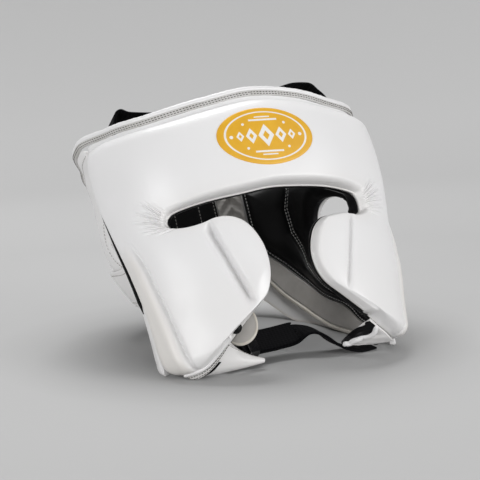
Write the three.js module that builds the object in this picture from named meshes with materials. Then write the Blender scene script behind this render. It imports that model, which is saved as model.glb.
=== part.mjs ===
// Padded head guard with cheek pads, standing on its lower edge and leaning back.
// Millimetres, +Z up, the face towards -Y, the wearer's left towards +X.
// Every wall is a layer of one head form: a place on it is a bearing (degrees from the
// face, positive to the wearer's left), a height, and an inset from the outer skin.

import * as THREE from 'three';

// Head form
const HALF_WIDTH = 116;
const FRONT_DEPTH = 104.5;
const REAR_DEPTH = 122;
const SQUARENESS = 2.4;
const SIDE_LEAN = -0.045;
const NECK_TAPER = 27;
const TAPER_BEARING = { start: 62, span: 45 };
const TAPER_HEIGHT = { start: 20, span: 110 };
// Where the pads have settled out of the plain form or into it: the side, the bearings between
// which each starts, is full, ends being full and is gone, the heights between which it grows,
// and the inset it adds
const SETTLED = [
  { side: -1, bearing: [66, 84, 91, 110], height: [72, 88], inset: -9 },
  { side: 1, bearing: [35, 60, 90, 120], height: [-20, 30], inset: -5 },
  { side: 1, bearing: [40, 65, 75, 100], height: [-45, -100], inset: 8 },
];
// The walls behind the shell's rear edge are drawn in round the ear and, on one side, below it.
// Each hollow starts behind that edge, is full a span further on and gone at its end.
const HOLLOW_START = 1;
const HOLLOWS = [
  { span: 16, hold: 100, end: 132, grows: [84, 56], fades: [-5, -65], right: 9, left: 14 },
  { span: 30, hold: 118, end: 165, grows: [40, -70], fades: [-300, -400], right: 18, left: 0 },
];

// Stance on the floor
const LEAN_BACK = 25;
const FLOOR_DROP = 78;
const MIDDLE = { x: -1.78, y: -5.61 };

// Front shell: stations from the middle of the brow round the eye corner to the jaw, on the
// wearer's right and left. Each row gives where the station starts at the lip of the face
// opening and where it ends at the outer edge, with the thickness of the pad.
const SHELL_STATIONS = {
  right: [
    { lipBearing: 0, lipHeight: 18.7, edgeBearing: 0, edgeHeight: 83.1, pad: 26 },
    { lipBearing: 14, lipHeight: 15.5, edgeBearing: 20, edgeHeight: 77.6, pad: 26 },
    { lipBearing: 26, lipHeight: 13.8, edgeBearing: 38, edgeHeight: 73.7, pad: 26 },
    { lipBearing: 36, lipHeight: 12, edgeBearing: 56, edgeHeight: 74.7, pad: 25 },
    { lipBearing: 44.5, lipHeight: 10, edgeBearing: 71, edgeHeight: 78.3, pad: 24 },
    { lipBearing: 49, lipHeight: 6.5, edgeBearing: 81.5, edgeHeight: 75, pad: 23 },
    { lipBearing: 50.8, lipHeight: 0.5, edgeBearing: 81, edgeHeight: 40, pad: 23 },
    { lipBearing: 49, lipHeight: -5, edgeBearing: 76.5, edgeHeight: 12, pad: 24 },
    { lipBearing: 44, lipHeight: -7.8, edgeBearing: 72.5, edgeHeight: -12, pad: 25 },
    { lipBearing: 38, lipHeight: -9.5, edgeBearing: 69, edgeHeight: -32, pad: 25 },
    { lipBearing: 32, lipHeight: -8.6, edgeBearing: 66, edgeHeight: -52, pad: 25 },
    { lipBearing: 26.5, lipHeight: -6, edgeBearing: 64.2, edgeHeight: -68, pad: 25 },
    { lipBearing: 21, lipHeight: -6.5, edgeBearing: 63.2, edgeHeight: -84, pad: 25 },
    { lipBearing: 16, lipHeight: -11.5, edgeBearing: 62.5, edgeHeight: -97, pad: 25 },
    { lipBearing: 12.5, lipHeight: -20.5, edgeBearing: 60.5, edgeHeight: -107, pad: 25 },
    { lipBearing: 10.4, lipHeight: -32, edgeBearing: 55, edgeHeight: -111.5, pad: 25 },
    { lipBearing: 10, lipHeight: -45, edgeBearing: 49, edgeHeight: -112, pad: 24 },
    { lipBearing: 11.2, lipHeight: -57, edgeBearing: 44, edgeHeight: -110, pad: 23 },
    { lipBearing: 14, lipHeight: -67.5, edgeBearing: 40, edgeHeight: -105.5, pad: 21 },
    { lipBearing: 19.2, lipHeight: -75.5, edgeBearing: 37, edgeHeight: -101, pad: 18 },
    { lipBearing: 25, lipHeight: -83, edgeBearing: 34.5, edgeHeight: -96.5, pad: 15 },
    { lipBearing: 28.5, lipHeight: -88, edgeBearing: 32.5, edgeHeight: -93, pad: 13 },
  ],
  left: [
    { lipBearing: 0, lipHeight: 18.7, edgeBearing: 0, edgeHeight: 83.1, pad: 26 },
    { lipBearing: 14, lipHeight: 19, edgeBearing: 20, edgeHeight: 81.5, pad: 26 },
    { lipBearing: 26, lipHeight: 19, edgeBearing: 38, edgeHeight: 77.9, pad: 26 },
    { lipBearing: 36, lipHeight: 18.5, edgeBearing: 56, edgeHeight: 77.4, pad: 25 },
    { lipBearing: 45, lipHeight: 16.5, edgeBearing: 71, edgeHeight: 79, pad: 23 },
    { lipBearing: 51, lipHeight: 12.5, edgeBearing: 81.5, edgeHeight: 75, pad: 21 },
    { lipBearing: 53.5, lipHeight: 6, edgeBearing: 81, edgeHeight: 42, pad: 21 },
    { lipBearing: 51, lipHeight: -1.5, edgeBearing: 76.5, edgeHeight: 14, pad: 21 },
    { lipBearing: 45.5, lipHeight: -7.5, edgeBearing: 72.5, edgeHeight: -10, pad: 21 },
    { lipBearing: 39, lipHeight: -11, edgeBearing: 69, edgeHeight: -30, pad: 21 },
    { lipBearing: 33.5, lipHeight: -12, edgeBearing: 66, edgeHeight: -49, pad: 21 },
    { lipBearing: 28.5, lipHeight: -10.5, edgeBearing: 64.2, edgeHeight: -64, pad: 20 },
    { lipBearing: 23.5, lipHeight: -11.5, edgeBearing: 63.2, edgeHeight: -79, pad: 20 },
    { lipBearing: 19.3, lipHeight: -15, edgeBearing: 62.5, edgeHeight: -91, pad: 19 },
    { lipBearing: 16, lipHeight: -22, edgeBearing: 60.5, edgeHeight: -100, pad: 19 },
    { lipBearing: 13.5, lipHeight: -31, edgeBearing: 55, edgeHeight: -104, pad: 18 },
    { lipBearing: 11.8, lipHeight: -41, edgeBearing: 49, edgeHeight: -104, pad: 16 },
    { lipBearing: 12.2, lipHeight: -51.5, edgeBearing: 44, edgeHeight: -102, pad: 15 },
    { lipBearing: 14.5, lipHeight: -61, edgeBearing: 40, edgeHeight: -98.5, pad: 14 },
    { lipBearing: 19.5, lipHeight: -70, edgeBearing: 37, edgeHeight: -95.5, pad: 13 },
    { lipBearing: 25, lipHeight: -79, edgeBearing: 34.5, edgeHeight: -92, pad: 12 },
    { lipBearing: 29, lipHeight: -85.5, edgeBearing: 32.5, edgeHeight: -89.5, pad: 11 },
  ],
};
const JAW_END = SHELL_STATIONS.left.length - 1;
const BROW_END = 7;
const CORNER_STATION = 5.4;
const BOTTOM_START = 14;
// The skin rolls in at the lip and at the sewn edge, and the back rounds out to that edge.
// Each rounding is a length in millimetres, held to a share of a short station.
const LIP = { round: 15, share: 0.5, wall: 4 };
const EDGE = { round: 13, share: 0.45, depth: 9, wall: 4.5 };
const BACK = { round: 30, share: 0.6 };
const SKIN_CROWN = { rise: 3, fullLength: 50 };
// Sewn crease down the front of each cheek pad, with a soft swell on its nose side
const CREASE = {
  right: { from: [29.8, -8], to: [19, -76] },
  left: { from: [31, -9], to: [18.5, -74] },
  depth: 4.5,
  width: 5,
  swell: 2.5,
  endShare: 1 / 6,
};
const LINING = { gap: 0.4, thick: 2, past: 0.012 };

// Rim and its binding: a flat sewn strip under a rolled top edge
const RIM = [
  { bearing: -180, height: 86 },
  { bearing: -120, height: 90 },
  { bearing: -84, height: 92.5 },
  { bearing: -66, height: 89 },
  { bearing: -45, height: 84.9 },
  { bearing: -22, height: 88.7 },
  { bearing: 0, height: 94.7 },
  { bearing: 22, height: 93 },
  { bearing: 44, height: 89 },
  { bearing: 66, height: 91 },
  { bearing: 84, height: 92 },
  { bearing: 120, height: 90 },
  { bearing: 180, height: 86 },
];
const BINDING = { rise: 11.6, gap: 0.6, stripOuter: 6.8, stripInner: 9.2, stripTop: 5.4 };
const ROLL = { inset: 10.2, radius: 3.4, fromAngle: 215, toAngle: -35 };

// Rear panels, ear holes and what lines them
const PANEL = { outer: 8, inner: 13, endBearing: 172, seam: 0.9, footSeam: 2.4 };
const NAPE_RISE = { start: 135, span: 37, height: 40 };
const EAR_HOLE = { bearing: 93.5, height: 17, halfBearing: 14, halfHeight: 19.5 };
const CUSHION = { outer: 13.6, edge: 16.5, crown: 24, topDrop: 1.5, seam: 1.8 };
// Heights at which the front edge of panel and cushion is set out
const FRONT_HEIGHTS = [-97, -60, -25, 5, 40, 70];
const LINER = { outer: 15, inner: 17 };
// The cushion's lower and rear edge, and the outer edge of the grey liner beyond it
const LINER_ROWS = [
  { cushionBearing: 70, cushionHeight: -89.5, outerBearing: 72.5, outerHeight: -94 },
  { cushionBearing: 83.5, cushionHeight: -77, outerBearing: 80.5, outerHeight: -89 },
  { cushionBearing: 94.2, cushionHeight: -57.5, outerBearing: 92.8, outerHeight: -79 },
  { cushionBearing: 112.2, cushionHeight: -38.5, outerBearing: 116.2, outerHeight: -57 },
  { cushionBearing: 128.8, cushionHeight: -17.5, outerBearing: 138, outerHeight: -29 },
  { cushionBearing: 140, cushionHeight: 3.5, outerBearing: 150, outerHeight: -2 },
  { cushionBearing: 148.4, cushionHeight: 21, outerBearing: 163, outerHeight: 21 },
  { cushionBearing: 151.6, cushionHeight: 45, outerBearing: 164.8, outerHeight: 45 },
  { cushionBearing: 151.6, cushionHeight: 74, outerBearing: 164.8, outerHeight: 74 },
];
const LINER_GAP = 1.3;
const MM_PER_DEGREE = 1.75;
const PIPING = { radius: 1.7, inset: 16.6, drop: 2.6, lastRow: 5 };
const BACK_PANEL = { startBearing: 165.5, outer: 14.4, inner: 17.4, lowHeight: 10, topDrop: 1.5 };

// Closure strap round the outside of the rear panels
const CLOSURE_ROWS = [
  { bearing: -78.8, height: -8, inset: 4.8 },
  { bearing: -85, height: -15, inset: 3.6 },
  { bearing: -94, height: -21, inset: 3.2 },
  { bearing: -108, height: -20, inset: 4 },
  { bearing: -124, height: -12, inset: 3.8 },
  { bearing: -150, height: 0, inset: 4.2 },
  { bearing: -180, height: 8, inset: 4.8 },
  { bearing: -212, height: 9, inset: 4.8 },
];
const CLOSURE = { width: 34, thick: 2.4 };

// Crown straps, as places across the head, heights and places fore and aft
const CROWN_ROWS = {
  right: [
    { across: 80.2, height: 56, fore: 3 },
    { across: 82, height: 76, fore: 3 },
    { across: 83.2, height: 97, fore: 3 },
    { across: 80.5, height: 112, fore: 3 },
    { across: 75, height: 118.6, fore: 3 },
    { across: 66, height: 116.8, fore: 3 },
    { across: 36, height: 113.5, fore: 3 },
    { across: 0, height: 110.5, fore: 3 },
    { across: -34, height: 113.5, fore: 3 },
  ],
  left: [
    { across: 79.7, height: 56, fore: 3 },
    { across: 84, height: 76, fore: -8 },
    { across: 92, height: 96, fore: -20 },
    { across: 91.5, height: 106, fore: -25 },
    { across: 85, height: 114.5, fore: -26 },
    { across: 78, height: 120.3, fore: -26 },
    { across: 61, height: 117.8, fore: -24 },
    { across: 36, height: 114, fore: -14 },
    { across: 0, height: 110.8, fore: -3 },
    { across: -34, height: 113.5, fore: 3 },
  ],
};
const CROWN = { width: 28, thick: 2.2, lap: 2.7, lapFrom: 79, lapTo: 62 };

// Badge on the brow
const BADGE = { height: 49.5, halfWidth: 36.7, halfHeight: 22.7, gap: 0.6, thick: 1.4 };
const BROW_DEGREES_PER_STATION = 18.2;

// Chin flaps: each hangs from the bottom edge of its cheek pad down to a tip
const FLAP = {
  thick: 2.4,
  inset: 12,
  drop: 1.2,
  start: 16,
  end: 20.9,
  hollow: 10,
  sag: 1,
  tipShare: 0.95,
  offFloor: 1.64,
};
const FLAP_TIPS = { right: { x: -19, y: -103, z: 6 }, left: { x: 47, y: -93, z: 8 } };

// Chin strap on the floor between the flaps: middle line, and how far the webbing is
// turned from standing on its edge to lying flat
const STRAP_ROWS = [
  { x: -50, y: -93, z: 12.5, turn: 60 },
  { x: -34, y: -85.5, z: 13, turn: 60 },
  { x: -20, y: -78.5, z: 13, turn: 60 },
  { x: -2, y: -73.5, z: 13.2, turn: 60 },
  { x: 14, y: -72, z: 15, turn: 62 },
  { x: 24, y: -74.5, z: 18.5, turn: 78 },
  { x: 34, y: -78, z: 16, turn: 88 },
  { x: 46, y: -83, z: 6.5, turn: 90 },
  { x: 60, y: -85, z: 1.7, turn: 90 },
  { x: 76, y: -82, z: 1.7, turn: 90 },
];
const STRAP = { width: 22, thick: 2, probe: 0.1 };
const TAIL = { first: 1, last: 4, shift: 2.6 };
const KEEPER = { row: 1.6, length: 11, thick: 1.8, gap: 1, corner: 0.8 };

// Tongue of the lining below the wearer's right cheek
const JAW_TAB = { bearing: -29, height: -81, halfBearing: 7.5, halfHeight: 13, inset: 28.4, thick: 2 };

// How finely each surface is divided
const DIVISIONS = {
  skin: 12,
  back: 6,
  rim: 48,
  roll: 5,
  cushionRing: 5,
  panelRing: 3,
  closureRow: 4,
  strapRow: 3,
  patch: 6,
  flapAlong: 10,
  flapDown: 6,
};
const RING = { front: 9, top: 8, rear: 5, bottom: 12 };

const { degToRad: rad, lerp, clamp, euclideanModulo } = THREE.MathUtils;
const SIN_LEAN = Math.sin(rad(LEAN_BACK));
const COS_LEAN = Math.cos(rad(LEAN_BACK));
const UPRIGHT = new THREE.Vector3(0, -SIN_LEAN, COS_LEAN);

const smooth = (x) => THREE.MathUtils.smoothstep(x, 0, 1);
const signedPower = (x, p) => Math.sign(x) * Math.abs(x) ** p;

/** Quarter of an ellipse: one at the edge, falling to nothing one rounding away. */
const rounding = (x) => (x >= 1 ? 0 : 1 - Math.sqrt(1 - (1 - Math.max(x, 0)) ** 2));

const steps = (count, from = 0, to = 1) => (
  Array.from({ length: count + 1 }, (_, i) => lerp(from, to, i / count)));

/** Steps from 0 to 1 that crowd together at both ends. */
const crowded = (count) => steps(count).map((x) => 0.5 - 0.5 * Math.cos(Math.PI * x));

/** Catmull-Rom value of one column of a table at row number u. */
function along(rows, u, column) {
  const last = rows.length - 1;
  const i = Math.min(Math.floor(u), last - 1);
  const f = u - i;
  const at = (k) => rows[k][column];
  const a = at(i);
  const b = at(i + 1);
  const before = i > 0 ? at(i - 1) : 2 * a - b;
  const after = i + 2 <= last ? at(i + 2) : 2 * b - a;
  const bend = 2 * before - 5 * a + 4 * b - after;
  const twist = 3 * (a - b) + after - before;
  return a + 0.5 * f * (b - before + f * (bend + f * twist));
}

/** Angle from the face, 0 to 180, whichever side the bearing lies. */
const fromFace = (bearing) => Math.abs(euclideanModulo(bearing + 180, 360) - 180);

const sideName = (bearing) => (bearing < 0 ? 'right' : 'left');

/** Share of a change that starts at one value and is full at another. */
const grown = (x, [start, full]) => smooth((x - start) / (full - start));

const REAR_TRACE_STEPS = 90;
const rearTrace = (rows) => steps(REAR_TRACE_STEPS, CORNER_STATION, BOTTOM_START).map((u) => (
  new THREE.Vector2(along(rows, u, 'edgeBearing'), along(rows, u, 'edgeHeight'))));
const REAR_TRACE = { right: rearTrace(SHELL_STATIONS.right), left: rearTrace(SHELL_STATIONS.left) };

/** Bearing of the shell's rear edge at a height. */
function rearEdge(name, height) {
  const trace = REAR_TRACE[name];
  const below = trace.findIndex((place) => place.y <= height);
  if (below < 0) return trace.at(-1).x;
  if (below === 0) return trace[0].x;
  const [above, under] = trace.slice(below - 1, below + 1);
  return lerp(above.x, under.x, (above.y - height) / (above.y - under.y));
}

/** Inset that the settled pads and the hollow round the ear add at a place. */
function settledInset(bearing, height) {
  const turn = fromFace(bearing);
  const signed = euclideanModulo(bearing + 180, 360) - 180;
  const name = sideName(signed);
  const pads = SETTLED.filter(({ side }) => side * signed > 0).reduce((sum, change) => {
    const [start, full, hold, end] = change.bearing;
    const spread = grown(turn, [start, full]) * (1 - grown(turn, [hold, end]));
    return sum + change.inset * spread * grown(height, change.height);
  }, 0);
  const behind = turn - rearEdge(name, height) - HOLLOW_START;
  return HOLLOWS.reduce((sum, hollow) => {
    const spread = smooth(behind / hollow.span) * (1 - grown(turn, [hollow.hold, hollow.end]));
    return sum + hollow[name] * spread * grown(height, hollow.grows) * (1 - grown(height, hollow.fades));
  }, pads);
}

/** Point of the head form: a superellipse in plan, narrowed towards the neck behind the ears. */
function onForm(bearing, height, inset) {
  const s = Math.sin(rad(bearing));
  const c = Math.cos(rad(bearing));
  const depth = c >= 0 ? FRONT_DEPTH : REAR_DEPTH;
  const reach = Math.abs(s / HALF_WIDTH) ** SQUARENESS + Math.abs(c / depth) ** SQUARENESS;
  const radius = reach ** (-1 / SQUARENESS);
  const normal = new THREE.Vector2(
    signedPower((radius * s) / HALF_WIDTH, SQUARENESS - 1) / HALF_WIDTH,
    -signedPower((radius * c) / depth, SQUARENESS - 1) / depth,
  ).normalize();
  const taper = NECK_TAPER
    * smooth((fromFace(bearing) - TAPER_BEARING.start) / TAPER_BEARING.span)
    * smooth((TAPER_HEIGHT.start - height) / TAPER_HEIGHT.span);
  const within = inset + taper + settledInset(bearing, height);
  return new THREE.Vector3(
    radius * s - within * normal.x + SIDE_LEAN * height,
    -radius * c - within * normal.y,
    height,
  );
}

/** Leather that would pass below the floor is pressed flat on it. */
function rested(point) {
  const under = -FLOOR_DROP - point.dot(UPRIGHT);
  return under > 0 ? point.addScaledVector(UPRIGHT, under) : point;
}

const FLOOR_PASSES = 30;

/** Height at which the head form meets the floor at a bearing, closed in on by repetition. */
function floorHeight(bearing, inset) {
  let height = -FLOOR_DROP;
  for (let pass = 0; pass < FLOOR_PASSES; pass += 1) {
    height = (-FLOOR_DROP + onForm(bearing, height, inset).y * SIN_LEAN) / COS_LEAN;
  }
  return height;
}

/** Place given on the floor, in the leaning frame of the guard. */
function fromFloor({ x, y, z }) {
  const h = z - FLOOR_DROP;
  return new THREE.Vector3(x, y * COS_LEAN - h * SIN_LEAN, y * SIN_LEAN + h * COS_LEAN);
}

/** Geometry from points and triangles, turned so that its faces point out. */
function solid(points, triangles) {
  let volume = 0;
  for (const [a, b, c] of triangles) {
    volume += points[a].dot(new THREE.Vector3().crossVectors(points[b], points[c]));
  }
  const facing = volume > 0 ? triangles : triangles.map(([a, b, c]) => [a, c, b]);
  const geometry = new THREE.BufferGeometry().setFromPoints(points);
  geometry.setIndex(facing.flat());
  geometry.computeVertexNormals();
  return geometry;
}

/** Closed solid through rows of closed loops, capped at both ends or joined into a ring. */
function loft(rows, ring = false) {
  const n = rows[0].length;
  const points = rows.flat();
  const triangles = [];
  const spans = ring ? rows.length : rows.length - 1;
  for (let i = 0; i < spans; i += 1) {
    for (let j = 0; j < n; j += 1) {
      const a = i * n + j;
      const b = i * n + ((j + 1) % n);
      const c = ((i + 1) % rows.length) * n + j;
      const d = ((i + 1) % rows.length) * n + ((j + 1) % n);
      triangles.push([a, b, d], [a, d, c]);
    }
  }
  if (!ring) {
    for (const [i, flip] of [[0, true], [rows.length - 1, false]]) {
      const middle = points.length;
      points.push(rows[i].reduce((sum, p) => sum.add(p), new THREE.Vector3()).divideScalar(n));
      for (let j = 0; j < n; j += 1) {
        const a = i * n + j;
        const b = i * n + ((j + 1) % n);
        triangles.push(flip ? [middle, b, a] : [middle, a, b]);
      }
    }
  }
  return solid(points, triangles);
}

/** Wall between two faces with the same rows and columns; its rows may close into a ring. */
function wall(faceA, faceB, ring = false) {
  const rows = faceA.length;
  const n = faceA[0].length;
  const shift = rows * n;
  const points = [...faceA.flat(), ...faceB.flat()];
  const triangles = [];
  const quad = (a, b, c, d) => triangles.push([a, b, c], [a, c, d]);
  const spans = ring ? rows : rows - 1;
  for (let i = 0; i < spans; i += 1) {
    const p = i * n;
    const q = ((i + 1) % rows) * n;
    for (let j = 0; j < n - 1; j += 1) {
      quad(p + j, p + j + 1, q + j + 1, q + j);
      quad(shift + p + j, shift + q + j, shift + q + j + 1, shift + p + j + 1);
    }
    quad(p, q, shift + q, shift + p);
    quad(p + n - 1, shift + p + n - 1, shift + q + n - 1, q + n - 1);
  }
  if (!ring) {
    const e = (rows - 1) * n;
    for (let j = 0; j < n - 1; j += 1) {
      quad(j, shift + j, shift + j + 1, j + 1);
      quad(e + j, e + j + 1, shift + e + j + 1, shift + e + j);
    }
  }
  return solid(points, triangles);
}

// Front shell

const LENGTH_STEPS = 8;

/** One station of the shell, counted from the brow and negative on the wearer's right. */
function shellStation(u) {
  const side = Math.sign(u) || 1;
  const k = Math.abs(u);
  const get = (column) => along(SHELL_STATIONS[sideName(side)], k, column);
  const station = {
    lip: new THREE.Vector2(side * get('lipBearing'), get('lipHeight')),
    edge: new THREE.Vector2(side * get('edgeBearing'), get('edgeHeight')),
    pad: get('pad'),
    side,
  };
  const chain = steps(LENGTH_STEPS).map((f) => shellPoint(station, f, 0));
  station.length = chain.slice(1).reduce((sum, p, i) => sum + p.distanceTo(chain[i]), 0);
  return station;
}

/** Point at share f of a station, from lip to edge. */
function shellPoint(station, f, inset) {
  const place = new THREE.Vector2().lerpVectors(station.lip, station.edge, f);
  return onForm(place.x, place.y, inset);
}

/** Where a station crosses the sewn crease of the cheek pad, and how deep the crease is there. */
function creaseOn(station) {
  const line = CREASE[sideName(station.side)];
  const place = ([bearing, height]) => new THREE.Vector2(station.side * bearing, height);
  const from = place(line.from);
  const run = place(line.to).sub(from);
  const ray = station.edge.clone().sub(station.lip);
  const gap = from.clone().sub(station.lip);
  const cross = ray.cross(run);
  const share = gap.cross(run) / cross;
  const reach = gap.cross(ray) / cross;
  const on = reach > 0 && reach < 1 && share > 0 && share < 1;
  return { share, strength: on ? smooth(Math.min(reach, 1 - reach) / CREASE.endShare) : 0 };
}

/** Inset of the shell's outer skin: crowned, rolled in at lip and edge, drawn in at the crease. */
function skinInset(station, f) {
  const { length, pad } = station;
  const fromLip = f * length;
  const fromEdge = (1 - f) * length;
  const { share, strength } = creaseOn(station);
  const groove = CREASE.depth * Math.exp(-((((f - share) * length) / CREASE.width) ** 2));
  const swell = f < share ? CREASE.swell * Math.sin((Math.PI * f) / share) : 0;
  return (pad - LIP.wall) * rounding(fromLip / Math.min(LIP.round, LIP.share * length))
    + EDGE.depth * rounding(fromEdge / Math.min(EDGE.round, EDGE.share * length))
    - SKIN_CROWN.rise * Math.sin(Math.PI * f) * Math.min(1, length / SKIN_CROWN.fullLength)
    + (strength > 0 ? strength * (groove - swell) : 0);
}

/** Inset of the shell's inner face, which comes out to meet the skin at the sewn edge. */
function backInset(station, f) {
  const fromEdge = (1 - f) * station.length;
  const pinch = Math.max(0, station.pad - EDGE.depth - EDGE.wall);
  return station.pad - pinch * rounding(fromEdge / Math.min(BACK.round, BACK.share * station.length));
}

// Stations of one half are twice as close over the brow and the eye corner
const halfNumbers = [
  ...steps(2 * BROW_END, 0, BROW_END),
  ...steps(JAW_END - BROW_END, BROW_END, JAW_END).slice(1),
];
const otherHalf = halfNumbers.slice(1).map((u) => -u).reverse();
const shellStations = [...otherHalf, ...halfNumbers].map(shellStation);

function frontShell() {
  return loft(shellStations.map((station) => [
    ...crowded(DIVISIONS.skin).map((f) => rested(shellPoint(station, f, skinInset(station, f)))),
    ...crowded(DIVISIONS.back).reverse().map((f) => rested(shellPoint(station, f, backInset(station, f)))),
  ]));
}

/** Black wall behind the pad, a little past it at the lip. */
function shellLining() {
  const shares = crowded(DIVISIONS.back).reverse();
  const face = (extra) => shellStations.map((station) => shares.map((f) => (
    rested(shellPoint(station, f > 0 ? f : -LINING.past, backInset(station, f) + extra)))));
  return wall(face(LINING.gap), face(LINING.gap + LINING.thick));
}

// Rim

/** Height of the sewn top edge of shell and panels, under the binding. */
function sewnTop(bearing) {
  const turn = euclideanModulo(bearing + 180, 360) - 180;
  const next = Math.max(1, RIM.findIndex((row) => row.bearing >= turn));
  const [from, to] = [RIM[next - 1].bearing, RIM[next].bearing];
  return along(RIM, next - 1 + (turn - from) / (to - from), 'height') - BINDING.rise;
}

function topBinding() {
  const { gap, stripOuter, stripInner, stripTop, rise } = BINDING;
  const roll = steps(DIVISIONS.roll, ROLL.fromAngle, ROLL.toAngle).map((angle) => new THREE.Vector2(
    ROLL.inset + ROLL.radius * Math.cos(rad(angle)),
    rise - ROLL.radius + ROLL.radius * Math.sin(rad(angle)),
  ));
  const profile = [
    new THREE.Vector2(stripOuter, gap),
    new THREE.Vector2(stripOuter, stripTop),
    ...roll,
    new THREE.Vector2(stripInner, stripTop),
    new THREE.Vector2(stripInner, gap),
  ];
  const bearings = steps(DIVISIONS.rim, 0, 360).slice(0, DIVISIONS.rim);
  const section = (bearing) => profile.map((p) => onForm(bearing, sewnTop(bearing) + p.y, p.x));
  return loft(bearings.map(section), true);
}

// Rear panels and ear cushions, drawn as rings round the ear hole

/** Evenly spaced places along a run of corner places. */
function run(corners, count) {
  const path = new THREE.CurvePath();
  corners.slice(1).forEach((corner, i) => path.add(new THREE.LineCurve(corners[i], corner)));
  return path.getSpacedPoints(count).slice(0, count);
}

const edgePlace = (side, height, past) => new THREE.Vector2(rearEdge(sideName(side), height) + past, height);
const EDGE_STEPS = 40;

/** Boundary of the ear cushion, from the jaw up the front, over the top and back under. */
function cushionBoundary(side) {
  const front = FRONT_HEIGHTS.map((height) => edgePlace(side, height, CUSHION.seam));
  const topPlace = (bearing) => new THREE.Vector2(bearing, sewnTop(side * bearing) - CUSHION.topDrop);
  const cornerFront = topPlace(front.at(-1).x);
  const cornerRear = topPlace(LINER_ROWS.at(-1).cushionBearing);
  const lowerEdge = steps(EDGE_STEPS, LINER_ROWS.length - 2, 0).map((u) => linerPlace(u, 'cushion'));
  return [
    ...run([...front, cornerFront], RING.front),
    ...run([cornerFront, cornerRear], RING.top),
    ...run([cornerRear, lowerEdge[0]], RING.rear),
    ...run([...lowerEdge, front[0]], RING.bottom),
  ];
}

/** Boundary of the rear panel at one inset, matching the cushion's boundary place by place. */
function panelBoundary(side, inset) {
  const topPlace = (bearing) => new THREE.Vector2(bearing, sewnTop(side * bearing));
  const lowPlace = (bearing) => new THREE.Vector2(
    bearing,
    floorHeight(side * bearing, inset) + NAPE_RISE.height * smooth((bearing - NAPE_RISE.start) / NAPE_RISE.span),
  );
  const end = PANEL.endBearing;
  const foot = SHELL_STATIONS[sideName(side)][BOTTOM_START].edgeBearing + PANEL.footSeam;
  const front = [lowPlace(foot), ...FRONT_HEIGHTS.slice(1).map((height) => edgePlace(side, height, PANEL.seam))];
  const frontTop = topPlace(front.at(-1).x);
  return [
    ...run([...front, frontTop], RING.front),
    ...steps(RING.top, frontTop.x, end).slice(0, RING.top).map(topPlace),
    ...run([topPlace(end), lowPlace(end)], RING.rear),
    ...steps(RING.bottom, end, foot).slice(0, RING.bottom).map(lowPlace),
  ];
}

/** Place on the ear hole's edge in the direction of an outer place. */
function holeToward(place) {
  const angle = Math.atan2(
    (place.y - EAR_HOLE.height) / EAR_HOLE.halfHeight,
    (place.x - EAR_HOLE.bearing) / EAR_HOLE.halfBearing,
  );
  return new THREE.Vector2(
    EAR_HOLE.bearing + EAR_HOLE.halfBearing * Math.cos(angle),
    EAR_HOLE.height + EAR_HOLE.halfHeight * Math.sin(angle),
  );
}

const between = (from, to) => (f) => new THREE.Vector2().lerpVectors(from, to, f);

function rearPanel(side) {
  const cushion = cushionBoundary(side);
  const face = (inset) => panelBoundary(side, inset).map((outer, i) => {
    const places = [
      ...steps(DIVISIONS.cushionRing).map(between(holeToward(cushion[i]), cushion[i])),
      ...steps(DIVISIONS.panelRing).slice(1).map(between(cushion[i], outer)),
    ];
    return places.map((place) => rested(onForm(side * place.x, place.y, inset)));
  });
  return wall(face(PANEL.outer), face(PANEL.inner), true);
}

function earCushion(side) {
  const boundary = cushionBoundary(side);
  const pillow = (f) => lerp(CUSHION.edge, CUSHION.crown, Math.sqrt(Math.sin(Math.PI * f)));
  const face = (inset) => boundary.map((outer) => {
    const placeAt = between(holeToward(outer), outer);
    return steps(DIVISIONS.cushionRing).map((f) => (
      rested(onForm(side * placeAt(f).x, placeAt(f).y, inset(f)))));
  });
  return wall(face(() => CUSHION.outer), face(pillow), true);
}

/** Place along the liner's rows, on its cushion edge or its outer edge. */
function linerPlace(u, edge) {
  return new THREE.Vector2(along(LINER_ROWS, u, `${edge}Bearing`), along(LINER_ROWS, u, `${edge}Height`));
}

/** Step of so many millimetres from the cushion's edge towards the liner's outer edge. */
function outward(u, distance) {
  const across = linerPlace(u, 'outer').sub(linerPlace(u, 'cushion'));
  const length = Math.hypot(across.x * MM_PER_DEGREE, across.y);
  return across.multiplyScalar(distance / length);
}

function rearLiner(side) {
  const rows = steps(2 * (LINER_ROWS.length - 1), 0, LINER_ROWS.length - 1);
  const face = (inset) => rows.map((u) => {
    const placeAt = between(linerPlace(u, 'cushion').add(outward(u, LINER_GAP)), linerPlace(u, 'outer'));
    return steps(2).map((f) => onForm(side * placeAt(f).x, placeAt(f).y, inset));
  });
  return wall(face(LINER.outer), face(LINER.inner));
}

function linerPiping(side) {
  const middle = steps(2 * PIPING.lastRow, 0, PIPING.lastRow).map((u) => {
    const place = linerPlace(u, 'outer').add(outward(u, PIPING.drop));
    const middlePoint = onForm(side * place.x, place.y, PIPING.inset);
    const underside = rested(middlePoint.addScaledVector(UPRIGHT, -PIPING.radius));
    return underside.addScaledVector(UPRIGHT, PIPING.radius);
  });
  const section = new THREE.Shape();
  section.absarc(0, 0, PIPING.radius, 0, 2 * Math.PI);
  return new THREE.ExtrudeGeometry(section, {
    steps: 3 * PIPING.lastRow,
    curveSegments: 3,
    bevelEnabled: false,
    extrudePath: new THREE.CatmullRomCurve3(middle),
  });
}

function backPanel() {
  const { startBearing, outer, inner, lowHeight, topDrop } = BACK_PANEL;
  const face = (inset) => steps(6, startBearing, 360 - startBearing).map((bearing) => (
    steps(4, lowHeight, sewnTop(bearing) - topDrop).map((height) => onForm(bearing, height, inset))));
  return wall(face(outer), face(inner));
}

// Straps

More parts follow.
